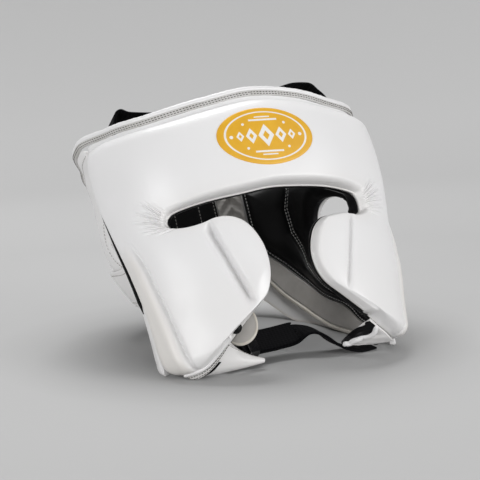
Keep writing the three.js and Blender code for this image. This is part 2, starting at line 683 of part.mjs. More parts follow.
function closureStrap() {
  const last = CLOSURE_ROWS.length - 1;
  const face = (extra) => steps(DIVISIONS.closureRow * last, 0, last).map((u) => {
    const get = (column) => along(CLOSURE_ROWS, u, column);
    return steps(2, -CLOSURE.width / 2, CLOSURE.width / 2).map((rise) => (
      onForm(get('bearing'), get('height') + rise, get('inset') + extra)));
  });
  return wall(face(0), face(CLOSURE.thick));
}

function crownStrap(side) {
  const rows = CROWN_ROWS[sideName(side)];
  const last = rows.length - 1;
  const raise = side > 0 ? CROWN.lap : 0;
  const line = steps(DIVISIONS.strapRow * last, 0, last).map((u) => (
    new THREE.Vector3(...['across', 'fore', 'height'].map((column) => along(rows, u, column)))));
  const face = (offset) => line.map((p, i) => {
    const step = line[Math.min(i + 1, line.length - 1)].clone().sub(line[Math.max(i - 1, 0)]);
    const ahead = new THREE.Vector2(step.x, step.z).normalize();
    const lift = raise * smooth((CROWN.lapFrom - p.x) / (CROWN.lapFrom - CROWN.lapTo));
    const x = side * (p.x + offset * ahead.y) + SIDE_LEAN * p.z;
    return [-CROWN.width / 2, CROWN.width / 2].map((half) => (
      new THREE.Vector3(x, p.y + half, p.z + lift - offset * ahead.x)));
  });
  return wall(face(0), face(CROWN.thick));
}

// Badge

/** Grid of points over a unit disc, mapped from a square so that no point repeats. */
function roundPatch(pointAt) {
  const grid = steps(DIVISIONS.patch, -1, 1);
  return grid.map((a) => grid.map((b) => (
    pointAt(a * Math.sqrt(1 - (b * b) / 2), b * Math.sqrt(1 - (a * a) / 2)))));
}

const BROW_PASSES = 4;

/** Inset of the brow's skin at a place, with the station through it closed in on by repetition. */
function browInset(bearing, height) {
  let u = bearing / BROW_DEGREES_PER_STATION;
  let share = 0.5;
  for (let pass = 0; pass < BROW_PASSES; pass += 1) {
    const { lip, edge } = shellStation(u);
    share = (height - lip.y) / (edge.y - lip.y);
    u += (bearing - lerp(lip.x, edge.x, share)) / BROW_DEGREES_PER_STATION;
  }
  return skinInset(shellStation(u), share);
}

/** Oval patch lying on the brow skin. */
function badge() {
  const face = (lift) => roundPatch((a, b) => {
    const height = BADGE.height + BADGE.halfHeight * b;
    const bearing = THREE.MathUtils.radToDeg((BADGE.halfWidth * a) / FRONT_DEPTH);
    return onForm(bearing, height, browInset(bearing, height) - lift);
  });
  return wall(face(BADGE.gap), face(BADGE.gap + BADGE.thick));
}

// Chin flaps, strap and tongue

/** Faces either side of a middle sheet of points, half the thickness away along its normals. */
function thicken(sheet, thick) {
  const at = (i, j) => sheet[clamp(i, 0, sheet.length - 1)][clamp(j, 0, sheet[0].length - 1)];
  const face = (sign) => sheet.map((row, i) => row.map((p, j) => {
    const du = at(i + 1, j).clone().sub(at(i - 1, j));
    const dv = at(i, j + 1).clone().sub(at(i, j - 1));
    return p.clone().addScaledVector(du.cross(dv).normalize(), (sign * thick) / 2);
  }));
  return wall(face(1), face(-1));
}

/** Leather between the pad's bottom edge and the tip, sagging on the floor and hollow at its free edge. */
function chinFlap(side, tipPlace) {
  const tip = fromFloor(tipPlace);
  const sheet = steps(DIVISIONS.flapAlong, FLAP.start, FLAP.end).map((u) => {
    const { edge } = shellStation(side * u);
    const top = onForm(edge.x, edge.y, FLAP.inset).addScaledVector(UPRIGHT, -FLAP.drop - FLAP.thick / 2);
    const jawward = (u - FLAP.start) / (FLAP.end - FLAP.start);
    return steps(DIVISIONS.flapDown, 0, FLAP.tipShare).map((f) => {
      const bow = 4 * f * (1 - f);
      const point = top.clone().lerp(tip, f);
      point.addScaledVector(UPRIGHT, -FLAP.sag * bow * (1 - jawward) - FLAP.offFloor);
      point.y += FLAP.hollow * bow * jawward ** 3;
      return rested(point).addScaledVector(UPRIGHT, FLAP.offFloor);
    });
  });
  return thicken(sheet, FLAP.thick);
}

/** Middle line and edge direction of the chin strap at row number u. */
function strapAt(u) {
  const [x, y, z, turn] = ['x', 'y', 'z', 'turn'].map((column) => along(STRAP_ROWS, u, column));
  const edge = new THREE.Vector3(0, Math.sin(rad(turn)), Math.cos(rad(turn)));
  return { middle: new THREE.Vector3(x, y, z), edge };
}

/** Direction along the strap at row number u, from the middle line a little before and after. */
function strapAhead(u) {
  const ahead = strapAt(Math.min(u + STRAP.probe, STRAP_ROWS.length - 1)).middle;
  return ahead.sub(strapAt(Math.max(u - STRAP.probe, 0)).middle).normalize();
}

/** Webbing between two rows of the strap, moved sideways from its middle line. */
function webbing(first, last, sideways) {
  const sheet = steps(DIVISIONS.strapRow * (last - first), first, last).map((u) => {
    const { middle, edge } = strapAt(u);
    middle.addScaledVector(strapAhead(u).cross(edge).normalize(), sideways);
    return [-STRAP.width / 2, STRAP.width / 2].map((half) => middle.clone().addScaledVector(edge, half));
  });
  return thicken(sheet, STRAP.thick);
}

const chinStrap = () => webbing(0, STRAP_ROWS.length - 1, 0);
const strapTail = () => webbing(TAIL.first, TAIL.last, TAIL.shift);

/** Flat ring round both plies of the strap, with its corners cut. */
function strapKeeper() {
  const { middle, edge } = strapAt(KEEPER.row);
  const ahead = strapAhead(KEEPER.row);
  const across = ahead.clone().cross(edge).normalize();
  const centre = middle.addScaledVector(across, TAIL.shift / 2);
  const quarter = [new THREE.Vector2(1, KEEPER.corner), new THREE.Vector2(KEEPER.corner, 1)];
  const corners = [
    ...quarter,
    ...quarter.toReversed().map(({ x, y }) => new THREE.Vector2(-x, y)),
    ...quarter.map(({ x, y }) => new THREE.Vector2(-x, -y)),
    ...quarter.toReversed().map(({ x, y }) => new THREE.Vector2(x, -y)),
  ];
  const face = (grow) => corners.map(({ x, y }) => {
    const corner = centre.clone()
      .addScaledVector(across, x * ((TAIL.shift + STRAP.thick) / 2 + KEEPER.gap + grow))
      .addScaledVector(edge, y * (STRAP.width / 2 + KEEPER.gap + grow));
    const ends = [-KEEPER.length / 2, KEEPER.length / 2];
    return ends.map((end) => corner.clone().addScaledVector(ahead, end));
  });
  return wall(face(0), face(KEEPER.thick), true);
}

function jawTab() {
  const face = (extra) => roundPatch((a, b) => onForm(
    JAW_TAB.bearing + JAW_TAB.halfBearing * a,
    JAW_TAB.height + JAW_TAB.halfHeight * b,
    JAW_TAB.inset + extra,
  ));
  return wall(face(0), face(JAW_TAB.thick));
}

// Materials and assembly

const COLOURS = {
  white: 0xe6e5e6,
  binding: 0xdedcda,
  black: 0x060606,
  grey: 0x8f8a84,
  gold: 0xdca834,
  webbing: 0x0a0a0c,
};
const leather = (name) => (
  new THREE.MeshStandardMaterial({ color: COLOURS[name], roughness: 0.42, metalness: 0 }));
const woven = () => (
  new THREE.MeshStandardMaterial({ color: COLOURS.webbing, roughness: 0.85, metalness: 0 }));

const guard = new THREE.Group();
guard.rotation.x = -rad(LEAN_BACK);
guard.position.set(-MIDDLE.x, MIDDLE.y, FLOOR_DROP);
const onFloor = new THREE.Group();
onFloor.position.set(-MIDDLE.x, MIDDLE.y, 0);

function add(group, name, geometry, material) {
  const mesh = new THREE.Mesh(geometry, material);
  mesh.name = name;
  group.add(mesh);
}

add(guard, 'front_shell', frontShell(), leather('white'));
add(guard, 'shell_lining', shellLining(), leather('black'));
add(guard, 'badge', badge(), leather('gold'));
add(guard, 'top_binding', topBinding(), leather('binding'));
add(guard, 'back_panel', backPanel(), leather('black'));
add(guard, 'closure_strap', closureStrap(), leather('white'));
for (const [name, side] of [['left', 1], ['right', -1]]) {
  add(guard, `rear_panel_${name}`, rearPanel(side), leather('white'));
  add(guard, `ear_cushion_${name}`, earCushion(side), leather('black'));
  add(guard, `rear_liner_${name}`, rearLiner(side), leather('grey'));
  add(guard, `liner_piping_${name}`, linerPiping(side), leather('white'));
  add(guard, `crown_strap_${name}`, crownStrap(side), woven());
  add(guard, `chin_flap_${name}`, chinFlap(side, FLAP_TIPS[name]), leather('white'));
}
add(guard, 'jaw_tab', jawTab(), leather('grey'));
add(onFloor, 'chin_strap', chinStrap(), woven());
add(onFloor, 'strap_tail', strapTail(), woven());
add(onFloor, 'strap_keeper', strapKeeper(), leather('black'));

const headGuard = new THREE.Group();
headGuard.add(guard, onFloor);

export default headGuard;
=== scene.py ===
"""Padded leather head guard with cheek pads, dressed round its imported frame.

Every soft wall is a layer of one head form, as in the frame: a place on it is a bearing
(degrees from the face, positive to the wearer's left), a height and an inset from the outer
skin, all in millimetres until put_mesh writes metres.
"""

import bpy
import numpy as np
from mathutils import Matrix


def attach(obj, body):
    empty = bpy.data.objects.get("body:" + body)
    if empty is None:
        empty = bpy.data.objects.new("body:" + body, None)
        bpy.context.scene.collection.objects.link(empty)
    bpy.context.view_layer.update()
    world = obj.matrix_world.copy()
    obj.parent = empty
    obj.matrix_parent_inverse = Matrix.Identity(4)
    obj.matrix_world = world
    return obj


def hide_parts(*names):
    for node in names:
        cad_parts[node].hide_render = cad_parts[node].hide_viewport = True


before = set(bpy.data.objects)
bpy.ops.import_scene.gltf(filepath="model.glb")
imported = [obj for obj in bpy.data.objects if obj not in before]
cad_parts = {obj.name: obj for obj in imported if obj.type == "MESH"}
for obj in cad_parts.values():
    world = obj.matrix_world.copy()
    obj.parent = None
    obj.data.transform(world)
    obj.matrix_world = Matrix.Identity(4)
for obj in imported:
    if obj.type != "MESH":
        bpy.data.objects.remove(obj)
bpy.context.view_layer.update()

# Head form
HALF_WIDTH = 116.0
FRONT_DEPTH = 104.5
REAR_DEPTH = 122.0
SQUARENESS = 2.4
SIDE_LEAN = -0.045
NECK_TAPER = 27.0
TAPER_BEARING = {"start": 62.0, "span": 45.0}
TAPER_HEIGHT = {"start": 20.0, "span": 110.0}
# Where the pads have settled out of the plain form or into it. Columns: side, bearings at which
# each starts, is full, stops being full and is gone, heights at which it starts and is full, inset
SETTLED = [
    (-1, (66, 84, 91, 110), (72, 88), -9.0),
    (1, (35, 60, 90, 120), (-20, 30), -5.0),
    (1, (40, 65, 75, 100), (-45, -100), 8.0),
]
# Walls behind the shell's rear edge, drawn in round the ear. Columns: span from that edge, bearings at
# which each stops being full and is gone, heights between which it grows and fades, inset on each side
HOLLOW_START = 1.0
HOLLOWS = [
    (16, (100, 132), (84, 56), (-5, -65), {-1: 9.0, 1: 14.0}),
    (30, (118, 165), (40, -70), (-300, -400), {-1: 18.0, 1: 0.0}),
]
MM_PER_DEGREE = 1.75
PLACE_SCALE = np.array([MM_PER_DEGREE, 1.0])
MM_PER_METRE = 1000.0
BACKWARD = np.array([0.0, 1.0, 0.0])
TINY = 1e-9
PARALLEL = 1e-6
SHARP_ANGLE = np.radians(55.0)
# Share of the third wave where two others are crossed
THIRD_WAVE = 0.6

# Points along and across each surface, or stations to a row of a table
GRID = {
    "skin_stations": (6, 29, 12), "skin": 108, "shell_back": 20, "nose": 7,
    "lining_stations": (6, 10, 4), "lining": 22, "station_length": 9, "rear_trace": 91,
    "binding": (480, 24), "binding_seam": 1440, "roll_turns": 16,
    "front_trace": 40, "cushion_top": 40, "cushion_bottom": 80, "panel_top": 60, "panel_bottom": 120,
    "panel_near": 26, "panel_far": 16, "panel_seam": 160, "hole": 120, "hole_seam": 200,
    "cushion": 88, "cushion_pinch": 160, "cushion_seam": 240,
    "liner": (220, 36), "piping": 160, "back": (70, 50), "back_seam": 60,
    "closure": (200, 25), "closure_seam": 300, "crown": (150, 15), "badge": (230, 150),
    "flap": (60, 50), "flap_band": 20, "jaw_roll": 120, "jaw_seam": (90, 9), "knob": (25, 18),
    "strap": (220, 17), "tail": 90, "keeper": (72, 13), "tab": (40, 40), "tab_rim": 120,
    "cord": 160, "cord_turns": 12,
}

# Stance on the floor
LEAN_BACK = np.radians(25.0)
FLOOR_DROP = 78.0
FLOOR_PASSES = 30
MIDDLE = np.array([1.78, -5.61, 0.0])
UPRIGHT = np.array([0.0, -np.sin(LEAN_BACK), np.cos(LEAN_BACK)])
LEAN_TURN = np.array([
    [1.0, 0.0, 0.0],
    [0.0, np.cos(LEAN_BACK), -np.sin(LEAN_BACK)],
    [0.0, np.sin(LEAN_BACK), np.cos(LEAN_BACK)],
])

# Front shell, from the middle of the brow round the eye corner to the jaw
# Columns: lip bearing, lip height, edge bearing, edge height, pad thickness, thickness at the lip
SHELL_RIGHT = np.array([
    [0, 14.8, 0, 83.1, 26, 14],
    [14, 11.8, 20, 77.6, 26, 14],
    [26, 9.7, 38, 73.7, 26, 13],
    [35.6, 7.3, 56, 74.7, 25, 11],
    [43, 4.6, 71, 78.3, 24, 9],
    [45.4, 1.6, 81.5, 75, 23, 8],
    [46.3, -1.6, 81, 40, 23, 8],
    [45.8, -5.4, 76.5, 12, 24, 8],
    [43.4, -8, 72.5, -12, 25, 9],
    [38, -9.8, 69, -32, 25, 11],
    [32, -8.8, 66, -52, 25, 15],
    [26.5, -6.2, 64.2, -68, 25, 19],
    [21, -6.6, 63.2, -84, 25, 22],
    [16, -11.5, 62.5, -97, 25, 24],
    [12.5, -20.5, 60.5, -107, 25, 25],
    [10.4, -32, 55, -111.5, 25, 25],
    [10, -45, 49, -112, 24, 24],
    [11.2, -57, 44, -110, 23, 23],
    [14, -67.5, 40, -105.5, 21, 21],
    [19.2, -75.5, 37, -101, 18, 18],
    [25, -83, 34.5, -96.5, 15, 15],
    [28.5, -88, 32.5, -93, 13, 13],
])
SHELL_LEFT = np.array([
    [0, 14.8, 0, 83.1, 26, 14],
    [13.4, 14.6, 20, 81.5, 26, 14],
    [24.8, 13.7, 38, 77.9, 26, 13],
    [34, 12, 56, 77.4, 25, 12],
    [40.5, 9.2, 71, 79, 23, 10],
    [41.9, 5.4, 81.5, 75, 21, 8.5],
    [42.2, 1.5, 81, 42, 21, 8],
    [42.2, -2.6, 76.5, 14, 21, 8],
    [42, -6.8, 72.5, -10, 21, 9],
    [38, -10.6, 69, -30, 21, 10],
    [33.2, -12.2, 66, -49, 21, 10],
    [28.4, -11, 64.2, -64, 20, 10],
    [23.4, -12, 63.2, -79, 20, 10],
    [18.7, -14.2, 62.5, -91, 19, 10],
    [14.3, -21, 60.5, -100, 19, 10],
    [11.3, -30.6, 55, -104, 18, 9.5],
    [9.7, -41.3, 49, -104, 16, 9],
    [10.2, -52.6, 44, -102, 15, 9],
    [12.8, -63, 40, -98.5, 14, 8.5],
    [18, -72, 37, -95.5, 13, 8],
    [23.6, -80.6, 34.5, -92, 12, 8],
    [27.8, -86.8, 32.5, -89.5, 11, 8],
])
SHELL_SIDES = {-1: SHELL_RIGHT, 1: SHELL_LEFT}
JAW_END = len(SHELL_LEFT) - 1
OTHER_SIDE = np.array([-1, 1, -1, 1, 1, 1])
SHELL_ROWS = np.vstack([SHELL_RIGHT[:0:-1] * OTHER_SIDE, SHELL_LEFT])
CORNER_STATION = 5.4
BOTTOM_START = 14
# Stations round the eye corner, which lie closest together
CORNER_RUN = {"start": 4.2, "span": 5.0}
LIP = {"round": 3.8, "share": 0.5, "wall": 2.2, "nose": 0.7}
EDGE = {"round": 13.0, "share": 0.45, "depth": 9.0, "wall": 4.5}
BACK = {"round": 30.0, "share": 0.6, "lip_round": 26.0, "lip_share": 0.4}
SKIN_CROWN = {"rise": 3.0, "full_length": 50.0}
SKIN_EVENNESS = 0.6
# Slow waves of the skin. Columns: turn for each degree of bearing and millimetre of height, phase
SLACK_WAVES = [(0.05, 0.085, 0.6), (0.07, -0.03, 0.0), (0.16, 0.11, 1.9)]
SLACK_DEPTH = 0.25
# Warm tint of painted shade on the white hide: under the lip, on the rolled strip behind each cheek, low down
# and on the inner faces
SKIN_SHADE = {
    "lip": 0.2, "lip_reach": 22.0, "lip_power": 0.7, "strip": 0.45, "strip_edge": 3.0, "strip_fade": 30.0,
    "low": 0.1, "low_from": -20.0, "low_fade": 60.0, "inside": 0.3,
}
# Sewn crease of each cheek pad: depth, widths of its nose wall and its edge wall, swell on its nose side
CREASE = {
    -1: {"depth": 7.5, "nose_wall": 3.6, "edge_wall": 8.5, "swell": 2.2},
    1: {"depth": 2.8, "nose_wall": 2.6, "edge_wall": 3.6, "swell": 0.6},
}
# Ends of each crease, bearing and height
CREASE_ENDS = {-1: ((30.8, -8.0), (20.0, -76.0)), 1: ((31.0, -9.0), (18.5, -74.0))}
CREASE_END_SHARE = 1 / 6
LINING = {"gap": 0.4, "thick": 2.0, "past": 0.012}
# Flat leather above the pad, under the binding
MARGIN = {"rise": 3.8, "outer": 8.7, "inner": 13.2, "end": 5.5, "fade": 0.9}
MARGIN_CLIMB = np.array([0.08, 0.3, 0.6, 0.85, 1.0])
# Gathers at the eye corner. Columns: station, depth, reach from the lip
GATHERS = np.array([
    [4.2, 0.68, 16],
    [4.7, 1.2, 22],
    [5.15, 1.8, 26],
    [5.55, 1.4, 20],
    [5.95, 2.2, 28],
    [6.35, 1.6, 22],
    [6.75, 2.3, 30],
    [7.15, 1.6, 22],
    [7.55, 2, 26],
    [8, 1.4, 22],
    [8.5, 1.1, 18],
])
GATHER = {
    "width": 0.115, "ridge": 0.35, "ridge_width": 2.0, "rise": 3.0, "hold": 0.4,
    "drift": 0.05, "drift_wave": 7.0, "drift_phase": 1.7,
}
# Seam of the rolled strip behind each cheek pad. Columns: height, bearing
STRIP_SEAM = np.array([
    [-110, 47.8], [-96, 49.3], [-80, 50.8], [-57, 53.4], [-33, 56.4], [-16, 59.6], [0, 63.5],
])
STRIP = {
    "depth": 2.9, "width": 1.6, "roll": 1.8, "roll_off": 7.0, "roll_width": 4.2, "top": -2.0, "fade": 26.0,
    "mm_per_degree": 1.9,
}

# Black line along the shell's rear edge, drawn as a thin tube
CORD = {"behind": 0.9, "inset": 4.9, "radius": 1.4, "start": 5.5, "end": 10.5, "taper": 0.6, "tip": 0.3}

# Rim and its binding. Columns: bearing, height
RIM = np.array([
    [-180, 86], [-120, 90], [-84, 92.5], [-66, 89], [-45, 84.9], [-22, 88.7], [0, 94.7],
    [22, 93], [44, 89], [66, 91], [84, 92], [120, 90], [180, 86],
])
RIM_RISE = 11.6
BINDING = {
    "low": 3.6, "top": 7.9, "outer": 6.9, "inner": 9.4, "flat_power": 0.6, "tall_power": 0.5,
    "seams": (0.9, 2.5), "seam_proud": 0.05,
}
ROLL = {"inset": 9.4, "radius": 2.3, "flat": 1.15}
# Unevenness along the rim. Columns: size, rate for each degree, phase
BINDING_RIPPLE = [(0.12, 1.9, 0.0), (0.1, 3.7, 1.0)]
ROLL_WOBBLE = [(0.03, 2.3, 0.0), (0.03, 0.9, 0.0)]

# Rear panels, ear holes and what lines them
# The panel's tint on its outer and inner faces is painted warm shade
PANEL = {
    "outer": 8.0, "inner": 13.0, "end": 172.0, "seam": 0.9, "foot_seam": 2.4, "front": (-92.0, 70.0),
    "eased": 2, "shade_and_raw_tint": (0.12, 0.15), "top_seam": (84.0, 170.0), "top_seam_drop": 1.0, "thread": 0.4,
}
# Edges that are rolled in and sewn
HOLE_EDGE = {"depth": 2.6, "round": 7.0, "seam": 8.5, "seam_depth": 0.5, "seam_width": 1.6}
BORDER_EDGE = {"depth": 1.6, "round": 3.5, "seam": 6.0, "seam_depth": 0.35, "seam_width": 1.4}
CLOSURE_EDGE = {"depth": 0.7, "round": 1.6, "seam": 4.0, "seam_depth": 0.35, "seam_width": 1.0}
RAW_EDGE = {"tone": 0.9, "width": 1.5, "start": 70.0, "fade": 15.0, "below": 30.0}
# Height of threads above the floor where a sewn line reaches it
SEWN_CLEAR = 0.3
NAPE_RISE = {"start": 135.0, "span": 37.0, "height": 40.0}
EAR_HOLE = {"height": 17.0, "half_height": 19.5}
# Middle and half width of each hole in bearing
EAR_SIDES = {-1: (93.5, 14.0), 1: (96.2, 12.6)}
CUSHION = {
    "outer": 13.6, "edge": 16.3, "crown": 24.0, "top_lift": 2.0, "seam": 1.8, "margin": 4.0,
    "front": (-97.0, 70.0), "last_row": 7.0, "eased": 6, "border_round": 20.0, "hole_round": 14.0,
    "pinch": 0.62, "pinch_round": 9.0, "seam_flat": 2.4,
}
# Threads: steps left out at the end, distances from the border and the sewn line, height above the face
CUSHION_SEWN = {"short": 8, "border": 2.6, "beside": 1.3, "proud": 0.15}
# Sewn line between the cushion's ear part and its rear lobe. Columns: bearing, height
CUSHION_SEAM = np.array([
    [124.5, 80], [125.5, 64], [129.5, 49.5], [129, 26.5], [120, -10], [96, -46], [86, -64], [74, -80],
])
LINER = {"outer": 15.0, "inner": 17.0, "gap": 1.3}
QUILT = {
    "middle": 0.45, "pitch": 9.5, "slant": 2.1, "sway": 0.5, "sway_length": 23.0, "fold": 1.7,
    "fold_power": 1.6, "small": 0.3, "small_pitch": 4.3, "small_slant": 1.7, "spine": 1.1,
    "spine_width": 0.05, "puff": 0.5, "puff_power": 0.5, "low": 2.0, "fade": 14.0,
}
# Columns: cushion edge's bearing and height, outer edge's bearing and height
LINER_ROWS = np.array([
    [70, -89.5, 72.5, -94],
    [83.5, -77, 80.5, -89],
    [94.2, -57.5, 92.8, -79],
    [112.2, -38.5, 116.2, -57],
    [128.8, -17.5, 138, -29],
    [140, 3.5, 150, -2],
    [148.4, 21, 163, 21],
    [151.6, 45, 164.8, 45],
    [151.6, 79, 164.8, 79],
])
PIPING = {"radius": 1.7, "inset": 16.6, "drop": 2.6, "last_row": 5.0}
BACK_PANEL = {
    "start": 165.5, "outer": 14.4, "inner": 17.4, "low": 10.0, "top_lift": 2.0, "border": 1.2,
    "border_share": 3.0 / 70.0,
}
BACK_CHANNEL = {"places": (6.0, 13.5), "depth": 0.8, "width": 0.9}
BACK_SEAMS = {"places": (166.5, 174.0, 175.2, 184.8, 186.0, 193.5), "rise": 3.0, "drop": 1.0}

# Closure strap. Columns: bearing, height, inset
CLOSURE_ROWS = np.array([
    [-78.8, -8, 4.8],
    [-85, -15, 3.6],
    [-94, -21, 3.2],
    [-108, -20, 4],
    [-124, -12, 3.8],
    [-150, 0, 4.2],
    [-180, 8, 4.8],
    [-212, 9, 4.8],
])
# The strap's tint is painted warm shade
CLOSURE = {
    "width": 34.0, "thick": 2.4, "end_share": 0.25, "end_rows": 0.25, "under_depth": 0.5, "under_round": 1.2,
    "seam_start": 0.15, "shade_and_raw_tint": 0.15,
}

# Crown straps. Columns: place across the head, height, place fore and aft
CROWN_ROWS = {
    "right": np.array([
        [80.2, 56, 3], [82, 76, 3], [83.2, 97, 3], [80.5, 111.5, 3], [76, 117.2, 3], [67, 114.2, 3],
        [36, 112.2, 3], [0, 110.5, 3], [-34, 113.5, 3],
    ]),
    "left": np.array([
        [79.7, 56, 3], [84, 76, -8], [92, 96, -20], [91.5, 106, -25], [85, 114.5, -26], [78, 120.3, -26],
        [61, 117.8, -24], [36, 114, -14], [0, 110.8, -3], [-34, 113.5, 3],
    ]),
}
CROWN = {
    "width": 28.0, "thick": 2.2, "lap": 2.7, "lap_from": 79.0, "lap_to": 62.0, "edge_depth": 0.77,
    "edge_round": 1.5,
}

# Badge
BADGE = {
    "height": 49.5, "half_width": 36.7, "half_height": 22.7, "thick": 0.7, "rim_lift": 0.15, "rim_round": 1.6,
    "sunk": 1.0,
}
BROW_DEGREES_PER_STATION = 18.2
BROW_PASSES = 4

# Chin flaps, their hide with a warm tint of painted shade. Tips are places on the floor
FLAP = {
    "thick": 2.4, "inset": 12.0, "drop": 2.4, "start": 16.0, "end": 20.9, "hollow": 10.0, "sag": 1.0,
    "crumple": 1.2, "shade_and_raw_tint": 0.22,
}
FLAP_TIP_SHARE = 0.95
# Crumple of the left flap. Columns: turn for each row and column of the sheet, phase
FLAP_WAVES = [(0.33, 0.2, 0.0), (-0.1, 0.33, 0.0), (0.5, -0.28, 1.0)]
# Black lining inside both flaps, sewn rows counted from the free edge, rolled edge of the left flap's
# turned lining and dark slot under the right pad, by rows and columns of the sheet
FLAP_LINING = {"rows": slice(2, -3), "columns": slice(2, -4), "thick": 0.8, "gap": 0.5}
FLAP_SEAMS = {"rows": (9, 13), "columns": slice(3, -6)}
# The roll's tint is a faint painted warm shade
FLAP_ROLL = {"row": 38, "radius": 2.1, "bow": 9.0, "lift": 0.6, "blunt": 1.02, "power": 5, "shade_and_raw_tint": 0.05}
FLAP_SLOT = {"rows": slice(8, 28), "columns": slice(6, 10), "gap": 0.3}
FLAP_OFF_FLOOR = 1.64
FLAP_TIPS = {"right": (-19.0, -103.0, 6.0), "left": (47.0, -93.0, 8.0)}

# Chin strap on the floor. Columns: x, y, z, turn from standing on edge to lying flat
STRAP_ROWS = np.array([
    [-50, -93, 12.5, 60],
    [-34, -85.5, 13, 60],
    [-20, -78.5, 13, 60],
    [-2, -73.5, 13.2, 60],
    [14, -72, 15, 62],
    [24, -74.5, 18.5, 84],
    [34, -78, 16, 88],
    [46, -83, 6.5, 90],
    [60, -85, 1.7, 90],
    [76, -82, 1.7, 90],
])
STRAP = {"width": 22.0, "thick": 2.0}
TAIL = {"first": 1.0, "last": 4.4, "shift": 2.6, "fray": 0.06}
# Frayed end across the tail. Columns: size, rate for each thread, phase
TAIL_FRAY = [(0.07, 2.4, 0.0), (0.04, 5.1, 0.0)]
KEEPER = {
    "row": 1.6, "length": 11.0, "thick": 1.8, "gap": 1.0, "rim_round": 1.2,
    "inner_roll": 0.3, "outer_roll": 0.5, "flat_power": 0.55, "tall_power": 0.3,
}

# Tongue of the lining below the wearer's right cheek
JAW_TAB = {
    "bearing": -27.4, "height": -81.0, "half_bearing": 9.0, "half_height": 15.0, "inset": 28.4, "thick": 2.0,
    "puff": 0.6, "piping": 1.3,
}
# Binding roll, seam strip and rolled end of the lining at the wearer's right jaw
# The roll's tint is painted warm shade
JAW_ROLL = {
    "start": 15.2, "end": 21.15, "radius": 1.5, "swell": 1.9, "power": 5, "tip": 0.75, "tip_rows": 0.16,
    "beyond": 8.0, "inset": 9.6, "drop": 0.4, "shade_and_raw_tint": 0.1,
}
JAW_SEAM = {
    "start": 15.4, "end": 20.7, "top": 1.8, "bottom": 5.4, "inset": 10.6, "clear": 0.8, "thick": 1.2,
    "rows": (2, 6),
}
JAW_KNOB = {
    "station": -21.0, "bearing": 3.6, "height": 5.5, "inset": 11.5, "half_length": 4.4, "radius": 3.9,
    "way": (0.55, -0.1, 0.8), "blunt": 1.001,
}

# Photograph's camera, in metres and degrees
CAMERA = {
    "place": (-0.31657, -0.87258, 0.20634), "turn": 20.28, "down": 7.71, "roll": -2.4, "lens": 86.25,
    "sensor": 36.0, "clip": 0.01,
}


# Shaping functions

def lerp(a, b, f):
    return a + (b - a) * f


def smooth(x):
    """Zero to one with level ends: three x squared less two x cubed, held between its ends."""
    x = np.clip(x, 0.0, 1.0)
    return x * x * (3.0 - 2.0 * x)


def rounding(x):
    """Quarter of an ellipse: one at the edge, falling to nothing one rounding away."""
    x = np.clip(x, 0.0, 1.0)
    return 1.0 - np.sqrt(1.0 - (1.0 - x) ** 2)


def bell(x):
    """One at nought, falling off as e to the minus x squared."""
    return np.exp(-np.square(x))


def crowded(count):
    """Steps from 0 to 1 that crowd together at both ends."""
    return 0.5 - 0.5 * np.cos(np.pi * np.linspace(0.0, 1.0, count))


def along(rows, u):
    """Catmull-Rom value of every column of a table at row numbers u."""
    u = np.asarray(u, float)
    rows = np.asarray(rows, float)
    ends = np.vstack([2 * rows[0] - rows[1], rows, 2 * rows[-1] - rows[-2]])
    i = np.clip(np.floor(u).astype(int), 0, len(rows) - 2)
    f = (u - i)[..., None]
    before, a, b, after = (ends[i + k] for k in range(4))
    bend = 2 * before - 5 * a + 4 * b - after
    twist = 3 * (a - b) + after - before
    return a + 0.5 * f * (b - before + f * (bend + f * twist))


def both_ways(count):
    """Steps from -1 to 1 that crowd together at both ends."""
    return 2 * crowded(count) - 1


def circle(count):
    """Angles of so many even steps round a circle."""
    return np.linspace(0.0, 2 * np.pi, count, endpoint=False)


def waves(rows, x):
    """Sum of sine waves. Columns: size, rate, phase."""
    return sum(size * np.sin(rate * x + phase) for size, rate, phase in rows)


def crossed_waves(rows, a, b):
    """First sine wave of a table times its second, and a share of its third. Columns: rate of a,
    rate of b, phase."""
    first, second, third = (np.sin(p * a + q * b + phase) for p, q, phase in rows)
    return first * second + THIRD_WAVE * third


def disc_grid(rows, columns):
    """Square grid drawn out to a disc of radius one."""
    a, b = np.meshgrid(np.linspace(-1, 1, rows), np.linspace(-1, 1, columns), indexing="ij")
    return np.stack([a * np.sqrt(1 - b * b / 2), b * np.sqrt(1 - a * a / 2)], -1)


def run_lengths(path):
    """Length run along rows of points, from the first row."""
    return np.cumsum(np.linalg.norm(np.diff(path, axis=0, prepend=path[:1]), axis=-1), axis=0)


def sampled(table, run, at):
    """Columns of a table at lengths along its run."""
    return np.stack([np.interp(at, run, column) for column in table.T], -1)


def spaced(path, count, whole=True):
    """Evenly spaced points along a polyline by its own length."""
    run = run_lengths(path)
    return sampled(path, run, np.linspace(0.0, run[-1], count, endpoint=whole))


def unit(vectors):
    return vectors / np.maximum(np.linalg.norm(vectors, axis=-1, keepdims=True), TINY)


def square_to(vectors, ahead):
    """Directions nearest to vectors that stand square to the way ahead."""
    return unit(vectors - np.sum(vectors * ahead, -1, keepdims=True) * ahead)


def signed_power(x, p):
    return np.sign(x) * np.abs(x) ** p


def grown(x, start, full):
    """Share of a change that starts at one value and is full at another."""
    return smooth((x - start) / (full - start))


REAR_NUMBERS = np.linspace(CORNER_STATION, BOTTOM_START, GRID["rear_trace"])
REAR_TRACES = {side: along(rows, REAR_NUMBERS)[:, 2:4] for side, rows in SHELL_SIDES.items()}


def rear_edge(side, height):
    """Bearing of the shell's rear edge at a height, on one side."""
    trace = REAR_TRACES[int(side)]
    return np.interp(-np.asarray(height, float), -trace[:, 1], trace[:, 0])


